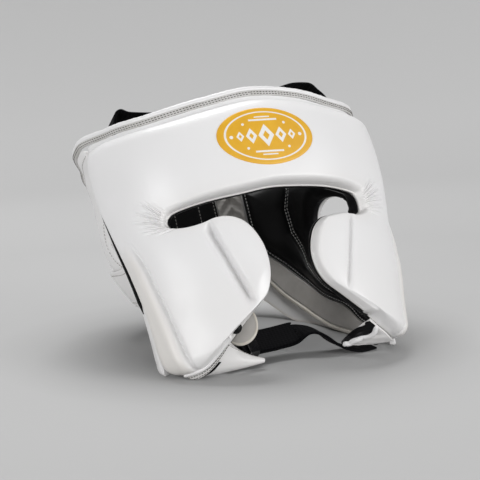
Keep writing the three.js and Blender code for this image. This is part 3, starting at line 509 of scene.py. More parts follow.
def settled_inset(signed, height):
    """Inset of the settled pads, each a product of smooth shares of bearing and height, and of the
    hollow round the ear, which starts behind the shell's rear edge."""
    turn, right = np.abs(signed), signed < 0
    inset = np.zeros_like(turn)
    for side, (start, full, hold, end), (low, high), depth in SETTLED:
        spread = grown(turn, start, full) * (1 - grown(turn, hold, end)) * (signed * side > 0)
        inset += depth * spread * grown(height, low, high)
    behind = turn - np.where(right, rear_edge(-1, height), rear_edge(1, height)) - HOLLOW_START
    for span, ends, grows, fades, depth in HOLLOWS:
        spread = smooth(behind / span) * (1 - grown(turn, *ends)) * np.where(right, depth[-1], depth[1])
        inset += spread * grown(height, *grows) * (1 - grown(height, *fades))
    return inset


def on_form(bearing, height, inset):
    """Point of the head form: a superellipse in plan, moved in along its normal by the inset,
    narrowed towards the neck behind the ears and leaning a little to one side."""
    bearing, height, inset = np.broadcast_arrays(*(np.asarray(v, float) for v in (bearing, height, inset)))
    s, c = np.sin(np.radians(bearing)), np.cos(np.radians(bearing))
    depth = np.where(c >= 0, FRONT_DEPTH, REAR_DEPTH)
    radius = (np.abs(s / HALF_WIDTH) ** SQUARENESS + np.abs(c / depth) ** SQUARENESS) ** (-1 / SQUARENESS)
    normal = unit(np.stack([
        signed_power(radius * s / HALF_WIDTH, SQUARENESS - 1) / HALF_WIDTH,
        -signed_power(radius * c / depth, SQUARENESS - 1) / depth,
    ], -1))
    signed = (bearing + 180.0) % 360.0 - 180.0
    from_face = np.abs(signed)
    taper = (NECK_TAPER * smooth((from_face - TAPER_BEARING["start"]) / TAPER_BEARING["span"])
             * smooth((TAPER_HEIGHT["start"] - height) / TAPER_HEIGHT["span"]))
    within = inset + taper + settled_inset(signed, height)
    return np.stack([
        radius * s - within * normal[..., 0] + SIDE_LEAN * height,
        -radius * c - within * normal[..., 1],
        height,
    ], -1)


def outward(bearing, height, inset):
    """Direction, in the world, in which the head form's skin faces at a place."""
    return unit(on_form(bearing, height, inset - 1.0) - on_form(bearing, height, inset)) @ LEAN_TURN


def rested(points, clear=0.0):
    """Leather that would pass below the floor, or nearer to it than clear, is pressed up on it."""
    under = np.maximum(0.0, clear - FLOOR_DROP - points @ UPRIGHT)
    return points + under[..., None] * UPRIGHT


def leaned(points):
    """Guard frame to world: tipped back by the lean, lifted off the floor and centred."""
    return points @ LEAN_TURN + MIDDLE + (0.0, 0.0, FLOOR_DROP)


def from_floor(place):
    """Place given on the floor, in the leaning frame of the guard."""
    return (np.asarray(place) - (0.0, 0.0, FLOOR_DROP)) @ LEAN_TURN.T


def laid(points, clear=0.0):
    """Guard frame to world, with what would pass below the floor pressed up on it."""
    return leaned(rested(points, clear))


def floor_height(bearing, inset):
    """Height at which the head form meets the floor at a bearing, closed in on by repetition."""
    height = np.full_like(bearing, -FLOOR_DROP)
    for _ in range(FLOOR_PASSES):
        back = on_form(bearing, height, inset)[..., 1]
        height = (back * np.sin(LEAN_BACK) - FLOOR_DROP) / np.cos(LEAN_BACK)
    return height


def distance_to(path, places):
    """Distance in millimetres from places to the nearest sample of a path, both bearing and height."""
    gaps = (places[..., None, :] - path) * PLACE_SCALE
    return np.sqrt(np.min(np.sum(gaps ** 2, -1), -1))


# Mesh making

def linked(name, data):
    """Object of some data in the scene."""
    made = bpy.data.objects.new(name, data)
    bpy.context.scene.collection.objects.link(made)
    return made


def put_mesh(name, points, quads, tris=None, uv=None, layers=None):
    """Object at the origin from world points in millimetres, faces turned outwards by its volume."""
    tris = np.zeros((0, 3), int) if tris is None else tris
    split = np.vstack([quads[:, [0, 1, 2]], quads[:, [0, 2, 3]], tris])
    middle = points.mean(axis=0)
    a, b, c = (points[split[:, k]] - middle for k in range(3))
    if np.sum(a * np.cross(b, c)) < 0:
        quads, tris = quads[:, ::-1], tris[:, ::-1]
    mesh = bpy.data.meshes.new(name)
    corners = np.concatenate([quads.ravel(), tris.ravel()])
    starts = np.concatenate([np.arange(len(quads)) * 4, 4 * len(quads) + np.arange(len(tris)) * 3])
    mesh.vertices.add(len(points))
    mesh.vertices.foreach_set("co", (points / MM_PER_METRE).astype(np.float32).ravel())
    mesh.loops.add(len(corners))
    mesh.loops.foreach_set("vertex_index", corners.astype(np.int32))
    mesh.polygons.add(len(starts))
    mesh.polygons.foreach_set("loop_start", starts.astype(np.int32))
    mesh.polygons.foreach_set("use_smooth", np.ones(len(starts), bool))
    mesh.update(calc_edges=True)
    if uv is not None:
        mesh.uv_layers.new(name="UVMap").data.foreach_set("uv", uv[corners].astype(np.float32).ravel())
    for layer, values in (layers or {}).items():
        data = mesh.attributes.new(layer, "FLOAT", "POINT").data
        data.foreach_set("value", values.astype(np.float32).ravel())
    mesh.set_sharp_from_angle(angle=SHARP_ANGLE)
    return linked(name, mesh)


def grid_quads(index):
    return np.stack([index[:-1, :-1], index[1:, :-1], index[1:, 1:], index[:-1, 1:]], -1).reshape(-1, 4)


def wall(name, face_a, face_b, ring=False, uv=None, layers=None):
    """Closed wall between two faces with the same rows and columns; its rows may close into a ring."""
    rows, columns = face_a.shape[:2]
    a = np.arange(rows * columns).reshape(rows, columns)
    if ring:
        a = np.vstack([a, a[:1]])
    b = a + rows * columns
    sides = [np.stack([a[:, 0], b[:, 0]]), np.stack([b[:, -1], a[:, -1]])]
    if not ring:
        sides += [np.stack([b[0], a[0]]), np.stack([a[-1], b[-1]])]
    quads = np.vstack([grid_quads(a), grid_quads(b)[:, ::-1]] + [grid_quads(side) for side in sides])
    points = np.concatenate([face_a.reshape(-1, 3), face_b.reshape(-1, 3)])
    twice = None if uv is None else np.concatenate([uv.reshape(-1, 2)] * 2)
    layers = {key: np.concatenate([np.ravel(v) for v in pair]) for key, pair in (layers or {}).items()}
    return put_mesh(name, points, quads, uv=twice, layers=layers)


def end_fans(index, tip):
    """Triangles from two tips to the first and the last closed row of an index."""
    first, last = index[0], index[-1]
    fans = [(tip, first[:-1], first[1:]), (tip + 1, last[1:], last[:-1])]
    return np.vstack([np.stack(np.broadcast_arrays(*fan), -1) for fan in fans])


def loft(name, loops, ring=False, layers=None):
    """Closed skin through rows of closed loops, capped by fans at both ends or joined into a ring."""
    rows, n = loops.shape[:2]
    index = np.arange(rows * n).reshape(rows, n)
    index = np.hstack([index, index[:, :1]])
    points = loops.reshape(-1, 3)
    if ring:
        return put_mesh(name, points, grid_quads(np.vstack([index, index[:1]])), layers=layers)
    points = np.vstack([points, loops[0].mean(axis=0), loops[-1].mean(axis=0)])
    layers = {
        key: np.concatenate([np.ravel(v), [v[0].mean(), v[-1].mean()]]) for key, v in (layers or {}).items()
    }
    return put_mesh(name, points, grid_quads(index), end_fans(index, rows * n), layers=layers)


def sheet_normals(sheet):
    return unit(np.cross(np.gradient(sheet, axis=0), np.gradient(sheet, axis=1)))


# Thickness shares at a sheet's outermost points
SOFT_EDGE = (0.35, 0.8)


def edge_weights(count):
    """Thickness shares across a sheet: thin at both edges, full a step or two in."""
    weights = np.ones(count)
    weights[:len(SOFT_EDGE)] = SOFT_EDGE
    weights[-len(SOFT_EDGE):] = SOFT_EDGE[::-1]
    return weights


def thick_sheet(name, sheet, thick, uv=None, raise_by=0.0, layers=None):
    """Wall half a thickness either side of a middle sheet along its normals, thinned at its edges."""
    normals = sheet_normals(sheet)
    weight = np.outer(edge_weights(sheet.shape[0]), edge_weights(sheet.shape[1]))[..., None]
    half = 0.5 * thick * weight
    middle = sheet + normals * raise_by
    return wall(name, middle + normals * half, middle - normals * half, uv=uv, layers=layers)


def tube(name, path, side, radius, turns=14, ring=False, flat=1.0, shade_and_raw_tint=None):
    """Round bar along a path: a circle in the plane of the side direction and its cross with the path."""
    ahead = np.roll(path, -1, axis=0) - np.roll(path, 1, axis=0) if ring else np.gradient(path, axis=0)
    ahead = unit(ahead)
    side = square_to(side, ahead)
    angle = circle(turns)[:, None]
    ringed = side[:, None] * (flat * np.cos(angle)) + np.cross(ahead, side)[:, None] * np.sin(angle)
    loops = path[:, None] + np.broadcast_to(radius, len(path))[:, None, None] * ringed
    # Tint layer, where given: painted warm shade over the whole bar
    layers = None if shade_and_raw_tint is None else {"shade_and_raw_tint": np.full(loops.shape[:2], shade_and_raw_tint)}
    return loft(name, loops, ring=ring, layers=layers)


# Rings of a thread's bead. Columns: place along it, share of its width
STITCH_RINGS = np.array([[-0.46, 0.55], [-0.25, 1.0], [0.25, 1.0], [0.46, 0.55]])
STITCH = {"sides": 6, "tip": 0.5, "rise": 0.25, "probe": 0.3}
# Columns: pitch, length of a bead, its width, and share of its width that is sunk
GAUGES = {
    "leather": (3.0, 2.2, 0.8, 0.15),
    "binding": (2.5, 1.7, 0.62, 0.15),
    "cushion": (3.2, 2.3, 0.9, 0.0),
    "back": (3.4, 2.4, 0.8, 0.15),
    "flap": (2.4, 1.7, 0.55, 0.15),
    "jaw": (2.2, 1.6, 0.55, 0.15),
}


def stitches(name, runs, pitch, length, width, sink):
    """Threads sewn along runs of path and normal: six-sided beads a pitch apart, each thick in its
    middle, closed by a point at both ends and laid a little into the leather."""
    rings, sides = len(STITCH_RINGS), STITCH["sides"]
    count = rings * sides
    t, r = np.repeat(STITCH_RINGS, sides, axis=0).T
    swing = np.tile(circle(sides), rings)
    bead = np.zeros((count + 2, 3))
    bead[:, 0] = np.append(t, [-STITCH["tip"], STITCH["tip"]]) * length
    bead[:count, 1:] = np.stack([r * np.cos(swing), r * np.sin(swing)], -1) * width / 2
    bead[:, 2] += width * (STITCH["rise"] - sink)
    index = np.arange(count).reshape(rings, sides)
    closed = np.hstack([index, index[:, :1]])
    beads = []
    for path, normal in runs:
        run = run_lengths(path)
        at = np.arange(0.5 * pitch, run[-1], pitch)
        probe = STITCH["probe"] * pitch
        ahead = unit(sampled(path, run, at + probe) - sampled(path, run, at - probe))
        up = square_to(sampled(normal, run, at), ahead)
        axes = np.stack([ahead, np.cross(up, ahead), up], 1)
        beads.append(sampled(path, run, at)[:, None] + np.einsum("bk,nkj->nbj", bead, axes))
    points = np.concatenate(beads)
    start = np.arange(len(points))[:, None, None] * len(bead)
    quads = (start + grid_quads(closed)).reshape(-1, 4)
    tris = (start + end_fans(closed, count)).reshape(-1, 3)
    return put_mesh(name, points.reshape(-1, 3), quads, tris)


# Finishes

NOISE = {"Detail": 3.0, "Roughness": 0.55}
NOISE_RANGE = {"From Min": 0.3, "From Max": 0.7}
FINE_SHARE = 0.6
FINE_DEPTH = 0.0002
PEBBLE_DEPTH = 0.00035


class Finish:
    """A Principled material with short helpers for its nodes."""

    def __init__(self, name, base, roughness, **sockets):
        self.material = bpy.data.materials.new(name)
        self.material.use_nodes = True
        self.nodes = self.material.node_tree.nodes
        self.shader = self.nodes["Principled BSDF"]
        self.set(self.shader, {"Base Color": (*base, 1.0), "Roughness": roughness, **sockets})

    @staticmethod
    def set(node, values):
        for socket, value in values.items():
            node.inputs[socket].default_value = value

    def node(self, kind, values=None, links=None, **settings):
        made = self.nodes.new(kind)
        for key, value in settings.items():
            setattr(made, key, value)
        self.set(made, values or {})
        for socket, source in (links or {}).items():
            self.material.node_tree.links.new(source, made.inputs[socket])
        return made

    def feed(self, socket, source):
        self.material.node_tree.links.new(source, self.shader.inputs[socket])

    def coordinates(self, space="Object"):
        return self.node("ShaderNodeTexCoord").outputs[space]

    def noise(self, scale):
        return self.node(
            "ShaderNodeTexNoise", {"Scale": scale, **NOISE}, {"Vector": self.coordinates()},
        ).outputs["Fac"]

    def spread(self, scale, low, high):
        """Noise of a scale, stretched to run from low to high."""
        return self.node(
            "ShaderNodeMapRange",
            {**NOISE_RANGE, "To Min": low, "To Max": high},
            {"Value": self.noise(scale)},
        ).outputs["Result"]

    def mottled(self, scale, first, second):
        """Cloudy colour between two."""
        return self.mix(self.spread(scale, 0, 1), first, second)

    def weave(self, scale, direction="X", **values):
        """Bands across a piece's own map."""
        return self.node(
            "ShaderNodeTexWave", {"Scale": scale, **values}, {"Vector": self.coordinates("UV")},
            bands_direction=direction,
        ).outputs["Fac"]

    def mix(self, share, first, second):
        """Colour between two, each a colour or a socket."""
        made = self.node("ShaderNodeMix", data_type="RGBA")
        for index, value in ((6, first), (7, second)):
            if isinstance(value, tuple):
                made.inputs[index].default_value = (*value, 1.0)
            else:
                self.material.node_tree.links.new(value, made.inputs[index])
        self.material.node_tree.links.new(share, made.inputs[0])
        return made.outputs[2]

    def layer(self, name):
        return self.node("ShaderNodeAttribute", attribute_name=name).outputs["Fac"]

    def bump(self, height, strength, distance, below=None):
        links = {"Height": height}
        if below is not None:
            links["Normal"] = below
        made = self.node("ShaderNodeBump", {"Strength": strength, "Distance": distance}, links)
        return made.outputs["Normal"]

    def grain(self, pebble, fine, strength):
        """Leather: pebbles from a cell pattern over a fine noise, as two bumps."""
        cells = self.node(
            "ShaderNodeTexVoronoi", {"Scale": pebble}, {"Vector": self.coordinates()}, feature="SMOOTH_F1",
        ).outputs["Distance"]
        first = self.bump(self.noise(fine), FINE_SHARE * strength, FINE_DEPTH)
        self.feed("Normal", self.bump(cells, strength, PEBBLE_DEPTH, first))


WHITE = (0.80, 0.795, 0.80)
# Warm tint that paints shade on the white hide, also the tan of raw edges
SHADE_AND_RAW_TAN = (0.66, 0.625, 0.57)


def plain(name, base, roughness, tones=None, gloss=None, grain=None, **sockets):
    """Finish of one colour, with cloudy tones, an uneven gloss and a grain where they are given."""
    finish = Finish(name, base, roughness, **sockets)
    if tones:
        finish.feed("Base Color", finish.mottled(*tones))
    if gloss:
        finish.feed("Roughness", finish.spread(*gloss))
    if grain:
        finish.grain(*grain)
    return finish


def white_leather():
    """Satin white hide: faint cloudy tone, a warm tint of painted shade where its tint layer says so (the
    same tint gives raw edges their tan), pebbled grain.
    """
    finish = plain(
        "white_leather", WHITE, 0.36, gloss=(90.0, 0.32, 0.42), grain=(900.0, 2600.0, 0.06),
        **{"Coat Weight": 0.12, "Coat Roughness": 0.3},
    )
    tone = finish.mix(finish.spread(22.0, 0.0, 0.18), WHITE, (0.74, 0.735, 0.73))
    # Mixed towards that tint by the tint layer: painted warm shade, and tan on raw edges
    finish.feed("Base Color", finish.mix(finish.layer("shade_and_raw_tint"), tone, SHADE_AND_RAW_TAN))
    return finish


def gold_print():
    """Gold ink on a leather oval with white ink over it where the print layer says so."""
    finish = plain("gold_badge", (0.68, 0.345, 0.014), 0.45, grain=(1200.0, 2600.0, 0.05))
    gold = finish.mottled(70.0, (0.78, 0.43, 0.025), (0.71, 0.375, 0.018))
    finish.feed("Base Color", finish.mix(finish.layer("print"), gold, (0.82, 0.81, 0.79)))
    return finish


def grey_satin():
    """Grey satin cloth: a fine weave along its own map and a soft sheen."""
    finish = plain(
        "grey_liner", (0.46, 0.44, 0.415), 0.5, tones=(45.0, (0.5, 0.48, 0.455), (0.4, 0.38, 0.355)),
        **{"Sheen Weight": 0.25, "Sheen Roughness": 0.4},
    )
    threads = finish.weave(420.0, Distortion=0.6)
    finish.feed("Normal", finish.bump(threads, 0.12, 0.0002))
    return finish


def black_webbing():
    """Woven black webbing: cords across and along its own map raised as ribs."""
    finish = Finish("black_webbing", (0.0025, 0.0025, 0.003), 0.75, **{"Specular IOR Level": 0.07})
    ribs, cords = finish.weave(105.0), finish.weave(160.0, "Y")
    finish.feed("Base Color", finish.mix(ribs, (0.0015, 0.0015, 0.002), (0.004, 0.004, 0.005)))
    finish.feed("Normal", finish.bump(cords, 0.4, 0.0003, finish.bump(ribs, 0.4, 0.0003)))
    return finish


def thread(name, colour):
    return plain(name, colour, 0.6, tones=(600.0, colour, tuple(0.75 * c for c in colour)))


FINISHES = {
    "white": white_leather(),
    # Sewn binding, white hide painted a slightly greyer tone for the shade it lies in under its roll, with a
    # close grain
    "binding": plain(
        "binding_leather", (0.60, 0.59, 0.575), 0.48, tones=(60.0, (0.62, 0.61, 0.6), (0.54, 0.53, 0.51)),
        grain=(1300.0, 3000.0, 0.1),
    ),
    # Smooth black hide with a clear sheen and a fine grain
    "black": plain(
        "black_lining", (0.004, 0.004, 0.0045), 0.42, gloss=(120.0, 0.36, 0.48),
        grain=(1100.0, 2800.0, 0.09), **{"Specular IOR Level": 0.16},
    ),
    "gold": gold_print(),
    "grey": grey_satin(),
    "piping": plain(
        "piping", (0.70, 0.665, 0.60), 0.42, tones=(80.0, (0.72, 0.69, 0.63), (0.6, 0.555, 0.48)),
        grain=(1200.0, 2600.0, 0.08),
    ),
    "webbing": black_webbing(),
    "gloss": plain("strap_keeper", (0.008, 0.008, 0.009), 0.2, gloss=(150.0, 0.14, 0.28)),
    "white_thread": thread("white_thread", (0.6, 0.6, 0.59)),
    "dark_thread": thread("dark_thread", (0.06, 0.055, 0.05)),
    "grey_thread": thread("grey_thread", (0.42, 0.41, 0.39)),
}


def dress(piece, finish, slot, *nodes, fill=None):
    """Gives a piece its finish, its body and the nodes that it stands for; its slot is not used."""
    piece.data.materials.append(FINISHES[finish].material)
    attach(piece, "root")
    if nodes:
        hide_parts(*nodes)


def sew(name, runs, gauge, finish, slot):
    """Stitches of one gauge along runs of path and normal."""
    dress(stitches(name, runs, *GAUGES[gauge]), finish, slot)


# Front shell

def shell_station(u):
    """Stations by number, negative on the wearer's right: lip and edge places, pad and length."""
    u = np.asarray(u, float)
    row = along(SHELL_ROWS, u + JAW_END)
    lip, edge, pad, lip_pad = row[..., 0:2], row[..., 2:4], row[..., 4], row[..., 5]
    share = np.linspace(0.0, 1.0, GRID["station_length"])[:, None]
    chain = lerp(lip[..., None, :], edge[..., None, :], share)
    points = on_form(chain[..., 0], chain[..., 1], 0.0)
    length = np.sum(np.linalg.norm(np.diff(points, axis=-2), axis=-1), axis=-1)
    return {"u": u, "lip": lip, "edge": edge, "pad": pad, "lip_pad": lip_pad, "length": length,
            "side": np.where(u < 0, -1.0, 1.0)}


def shell_place(station, f):
    place = lerp(station["lip"], station["edge"], np.asarray(f)[..., None])
    return place[..., 0], place[..., 1]


def flat_cross(p, q):
    return p[..., 0] * q[..., 1] - p[..., 1] * q[..., 0]


def crease_depth(station, f):
    """Inset added along the sewn crease of each cheek: a valley with a steep wall towards the nose and
    a gentler one behind, where the station crosses the crease's line, and a swell on its nose side."""
    right = station["side"] < 0
    ends = np.where(right[..., None, None], np.array(CREASE_ENDS[-1]) * (-1, 1), CREASE_ENDS[1])
    start, end = ends[..., 0, :], ends[..., 1, :]
    run, ray, gap = end - start, station["edge"] - station["lip"], start - station["lip"]
    turn = flat_cross(ray, run)
    turn = np.where(np.abs(turn) < PARALLEL, PARALLEL, turn)
    share, reach = flat_cross(gap, run) / turn, flat_cross(gap, ray) / turn
    on = (reach > 0) & (reach < 1) & (share > 0) & (share < 1)
    strength = np.where(on, smooth(np.minimum(reach, 1 - reach) / CREASE_END_SHARE), 0.0)
    off = (f - share) * station["length"]
    depth, nose_wall, edge_wall, rise = (
        np.where(right, CREASE[-1][key], CREASE[1][key])
        for key in ("depth", "nose_wall", "edge_wall", "swell")
    )
    groove = depth * smooth(off / nose_wall + 1.0) * (1.0 - smooth(off / edge_wall))
    swell = rise * np.sin(np.pi * np.clip(f / np.where(on, share, 1.0), 0.0, 1.0))
    return strength * (groove - np.where(off < 0, swell, 0.0))


def gather_depth(station, f):
    """Inset of the gathers that fan from the eye corner: narrow valleys along stations with low
    ridges beside them, strongest a little away from the lip and gone at their reach."""
    from_lip = f * station["length"]
    k = np.abs(station["u"])
    depth = 0.0
    for number, (place, deep, reach) in enumerate(GATHERS):
        phase = GATHER["drift_phase"] * number + station["side"]
        drift = GATHER["drift"] * np.sin(from_lip / GATHER["drift_wave"] + phase)
        off = (k - place - drift) / GATHER["width"]
        valley = bell(off) - GATHER["ridge"] * bell(off / GATHER["ridge_width"])
        fall = 1.0 - grown(from_lip, GATHER["hold"] * reach, reach)
        depth = depth + deep * valley * smooth(from_lip / GATHER["rise"]) * fall
    return depth


def behind_strip_seam(bearing, height):
    """Degrees by which a place lies behind the seam of its rolled strip."""
    return np.abs(bearing) - np.interp(height, STRIP_SEAM[:, 0], STRIP_SEAM[:, 1])


def strip_depth(bearing, height):
    """Inset of the seam before the rolled strip at the rear of each cheek, with the roll behind it."""
    off = behind_strip_seam(bearing, height) * STRIP["mm_per_degree"]
    seam_line = STRIP["depth"] * bell(off / STRIP["width"])
    roll = STRIP["roll"] * bell((off - STRIP["roll_off"]) / STRIP["roll_width"])
    return smooth((STRIP["top"] - height) / STRIP["fade"]) * (seam_line - roll)


def slack(bearing, height):
    """Slow unevenness of padded hide, about a third of a millimetre."""
    return SLACK_DEPTH * crossed_waves(SLACK_WAVES, bearing, height)


def skin_inset(station, f):
    """Inset of the shell's outer skin: crowned, rolled in at lip and edge, drawn in at its seams."""
    length = station["length"]
    place = shell_place(station, f)
    lip_roll = rounding(f * length / np.minimum(LIP["round"], LIP["share"] * length))
    edge_roll = rounding((1 - f) * length / np.minimum(EDGE["round"], EDGE["share"] * length))
    middle = np.sin(np.pi * f)
    crown = SKIN_CROWN["rise"] * middle * np.minimum(1.0, length / SKIN_CROWN["full_length"])
    rolled = (station["lip_pad"] - LIP["wall"]) * lip_roll + EDGE["depth"] * edge_roll
    sewn = crease_depth(station, f) + gather_depth(station, f) + strip_depth(*place)
    return rolled - crown + sewn + slack(*place) * middle


def back_inset(station, f):
    """Inset of the shell's inner face, which comes out to meet the skin at the sewn edge and at the lip."""
    length, pad = station["length"], station["pad"]
    pinch = np.maximum(0.0, pad - EDGE["depth"] - EDGE["wall"])
    at_edge = rounding((1 - f) * length / np.minimum(BACK["round"], BACK["share"] * length))
    at_lip = rounding(f * length / np.minimum(BACK["lip_round"], BACK["lip_share"] * length))
    return pad - pinch * at_edge - (pad - station["lip_pad"]) * at_lip


def skin_shade_tint(station, f):
    """Share of the warm tint of painted shade on the skin: at the lip, on the rolled strip and a little low
    down.
    """
    bearing, height = shell_place(station, f)
    lip = SKIN_SHADE["lip"] * rounding(f * station["length"] / SKIN_SHADE["lip_reach"]) ** SKIN_SHADE["lip_power"]
    strip = SKIN_SHADE["strip"] * smooth(behind_strip_seam(bearing, height) / SKIN_SHADE["strip_edge"])
    low = SKIN_SHADE["low"] * smooth((SKIN_SHADE["low_from"] - height) / SKIN_SHADE["low_fade"])
    strip = strip * smooth((STRIP["top"] - height) / SKIN_SHADE["strip_fade"])
    return np.clip(np.maximum(lip, strip + low), 0.0, 1.0)


def shell_numbers(brow, corner, cheek):
    """Numbers of all stations, so many to a table row on the brow, round the eye corner and down
    the cheek."""
    start, end = CORNER_RUN["start"], CORNER_RUN["start"] + CORNER_RUN["span"]
    half = np.concatenate([
        np.linspace(0.0, start, int(start * brow), endpoint=False),
        np.linspace(start, end, int(CORNER_RUN["span"] * corner), endpoint=False),
        np.linspace(end, JAW_END, int((JAW_END - end) * cheek)),
    ])
    return np.concatenate([-half[:0:-1], half])


def front_shell():
    """Loops of the pad: skin from lip to edge, flat margin under the binding, back to the lip, and a
    rounded nose between back and skin."""
    numbers = shell_numbers(*GRID["skin_stations"])
    station = shell_station(numbers[:, None])
    count = GRID["skin"]
    f_skin = lerp(crowded(count), np.linspace(0.0, 1.0, count), SKIN_EVENNESS)[None]
    skin = on_form(*shell_place(station, f_skin), skin_inset(station, f_skin))
    rise = MARGIN["rise"] * smooth((MARGIN["end"] - np.abs(numbers)) / MARGIN["fade"])[:, None]
    bearing, height = station["edge"][..., 0], station["edge"][..., 1]
    up, down = MARGIN_CLIMB, MARGIN_CLIMB[::-1]
    outer = on_form(bearing, height + rise * up, lerp(EDGE["depth"], MARGIN["outer"], up))
    inner = on_form(bearing, height + rise * down, lerp(EDGE["depth"] + EDGE["wall"], MARGIN["inner"], down))
    f_back = crowded(GRID["shell_back"])[None, ::-1]
    back = on_form(*shell_place(station, f_back), back_inset(station, f_back))
    swing = np.linspace(0.0, np.pi, GRID["nose"])[None, 1:-1]
    nose_f = -LIP["nose"] * np.sin(swing) / station["length"]
    nose_inset = station["lip_pad"] - LIP["wall"] * (0.5 - 0.5 * np.cos(swing))
    nose = on_form(*shell_place(station, nose_f), nose_inset)
    loops = laid(np.concatenate([skin, outer, inner, back, nose], axis=1))
    # Tint layer: painted warm shade on the inner faces and on the skin, none on the outer margin
    shade_and_raw_tint = np.full(loops.shape[:2], SKIN_SHADE["inside"])
    shade_and_raw_tint[:, :count] = skin_shade_tint(station, f_skin)
    shade_and_raw_tint[:, count:count + len(up)] = 0.0
    piece = loft("padded_shell", loops, layers={"shade_and_raw_tint": shade_and_raw_tint})
    dress(piece, "white", "white_leather", "front_shell", fill=0.85)


def shell_lining():
    """Black wall behind the pad, a little past it at the lip."""
    station = shell_station(shell_numbers(*GRID["lining_stations"])[:, None])
    f = crowded(GRID["lining"])[None]
    reach = np.where(f > 0, f, -LINING["past"])
    faces = [
        laid(on_form(*shell_place(station, reach), back_inset(station, f) + extra))
        for extra in (LINING["gap"], LINING["gap"] + LINING["thick"])
    ]
    dress(wall("pad_lining", *faces), "black", "black_lining", "shell_lining")


# Rim

def sewn_top(bearing):
    """Height of the sewn top edge of shell and panels, under the binding."""
    turn = (np.asarray(bearing) + 180.0) % 360.0 - 180.0
    row = np.interp(turn, RIM[:, 0], np.arange(len(RIM)))
    return along(RIM, row)[..., 1] - RIM_RISE


def rim_path(rise, inset, count):
    """Path round the rim and the way its skin faces, in the world."""
    bearing = np.linspace(0.0, 360.0, count, endpoint=False)
    height = sewn_top(bearing) + rise
    return leaned(on_form(bearing, height, inset)), outward(bearing, height, inset)


def top_binding():
    """Flat sewn strip as rounded loops round the rim, with a rolled edge on top and two sewn rows."""
    around, turns = GRID["binding"]
    bearing = np.linspace(0.0, 360.0, around, endpoint=False)[:, None]
    low, top, outer, inner = (BINDING[key] for key in ("low", "top", "outer", "inner"))
    swing = circle(turns)[None]
    flat = 0.5 * (inner - outer) * signed_power(np.cos(swing), BINDING["flat_power"])
    across = 0.5 * (outer + inner) - flat
    rise = 0.5 * (low + top) + 0.5 * (top - low) * signed_power(np.sin(swing), BINDING["tall_power"])
    loops = on_form(bearing, sewn_top(bearing) + rise, across + waves(BINDING_RIPPLE, bearing))
    # The binding finish paints the strip grey for the shade under its roll
    dress(loft("binding_strip", leaned(loops), ring=True), "binding", "binding_leather", "top_binding")
    path, side = rim_path(RIM_RISE - ROLL["radius"], ROLL["inset"], around)
    radius = ROLL["radius"] * (1.0 + waves(ROLL_WOBBLE, bearing[:, 0]))
    roll = tube("binding_roll", path, side, radius, GRID["roll_turns"], ring=True, flat=ROLL["flat"])
    dress(roll, "white", "binding_leather")
    inset = BINDING["outer"] - BINDING["seam_proud"]
    runs = [rim_path(low + up, inset, GRID["binding_seam"]) for up in BINDING["seams"]]
    sew("binding_stitches", runs, "binding", "dark_thread", "binding_leather")


# Rear panels and ear cushions, drawn as rings round the ear hole

RING = {"front": 76, "top": 72, "rear": 44, "bottom": 100}


def liner_place(u, edge):
    row = along(LINER_ROWS, u)
    return row[..., 0:2] if edge == "cushion" else row[..., 2:4]


def eased(loop, passes):
    """Corners of a closed loop of places rounded by averaging each with its neighbours."""
    for _ in range(passes):
        loop = 0.25 * np.roll(loop, 1, axis=0) + 0.5 * loop + 0.25 * np.roll(loop, -1, axis=0)
    return loop


def ring_of(front, top, bottom, passes):
    """Closed ring of places from three traces and the straight rear between them, its corners eased."""
    traces = {
        "front": np.vstack([front, top[:1]]),
        "top": top,
        "rear": np.vstack([top[-1:], bottom[:1]]),
        "bottom": bottom,
    }
    return eased(np.vstack([spaced(traces[key], count, False) for key, count in RING.items()]), passes)


def front_trace(side, seam, heights):
    """Places a seam behind the shell's rear edge, from the lower to the upper of two heights."""
    heights = np.linspace(*heights, GRID["front_trace"])
    return np.stack([rear_edge(side, heights) + seam, heights], -1)


def cushion_boundary(side):
    """Boundary of the ear cushion, from the jaw up the front, over the top and back under."""
    front = front_trace(side, CUSHION["seam"], CUSHION["front"])
    bearings = np.linspace(front[-1, 0], LINER_ROWS[-1, 0], GRID["cushion_top"])
    top = np.stack([bearings, sewn_top(side * bearings) + CUSHION["top_lift"]], -1)
    lower = liner_place(np.linspace(CUSHION["last_row"], 0.0, GRID["cushion_bottom"]), "cushion")
    return ring_of(front, top, np.vstack([lower, front[:1]]), CUSHION["eased"])


def panel_boundary(side, inset):
    """Boundary of the rear panel at one inset, matching the cushion's boundary place by place."""
    foot = SHELL_SIDES[int(side)][BOTTOM_START, 2] + PANEL["foot_seam"]
    under = np.linspace(PANEL["end"], foot, GRID["panel_bottom"])
    nape = NAPE_RISE["height"] * smooth((under - NAPE_RISE["start"]) / NAPE_RISE["span"])
    bottom = np.stack([under, floor_height(side * under, inset) + nape], -1)
    front = np.vstack([bottom[-1:], front_trace(side, PANEL["seam"], PANEL["front"])])
    across = np.linspace(front[-1, 0], PANEL["end"], GRID["panel_top"])
    top = np.stack([across, sewn_top(side * across) + MARGIN["rise"]], -1)
    return ring_of(front, top, bottom, PANEL["eased"])


def hole_place(side, angle, grow=0.0):
    """Place on the ear hole's oval, grown by some millimetres."""
    middle, half = EAR_SIDES[int(side)]
    return np.stack([
        middle + (half + grow / MM_PER_DEGREE) * np.cos(angle),
        EAR_HOLE["height"] + (EAR_HOLE["half_height"] + grow) * np.sin(angle),
    ], -1)


def hole_toward(side, places):
    middle, half = EAR_SIDES[int(side)]
    angle = np.arctan2(
        (places[..., 1] - EAR_HOLE["height"]) / EAR_HOLE["half_height"], (places[..., 0] - middle) / half)
    return hole_place(side, angle)


HOLE_RINGS = {side: hole_place(side, circle(GRID["hole"])) for side in EAR_SIDES}


def on_side(places, side, inset):
    return on_form(side * places[..., 0], places[..., 1], inset)


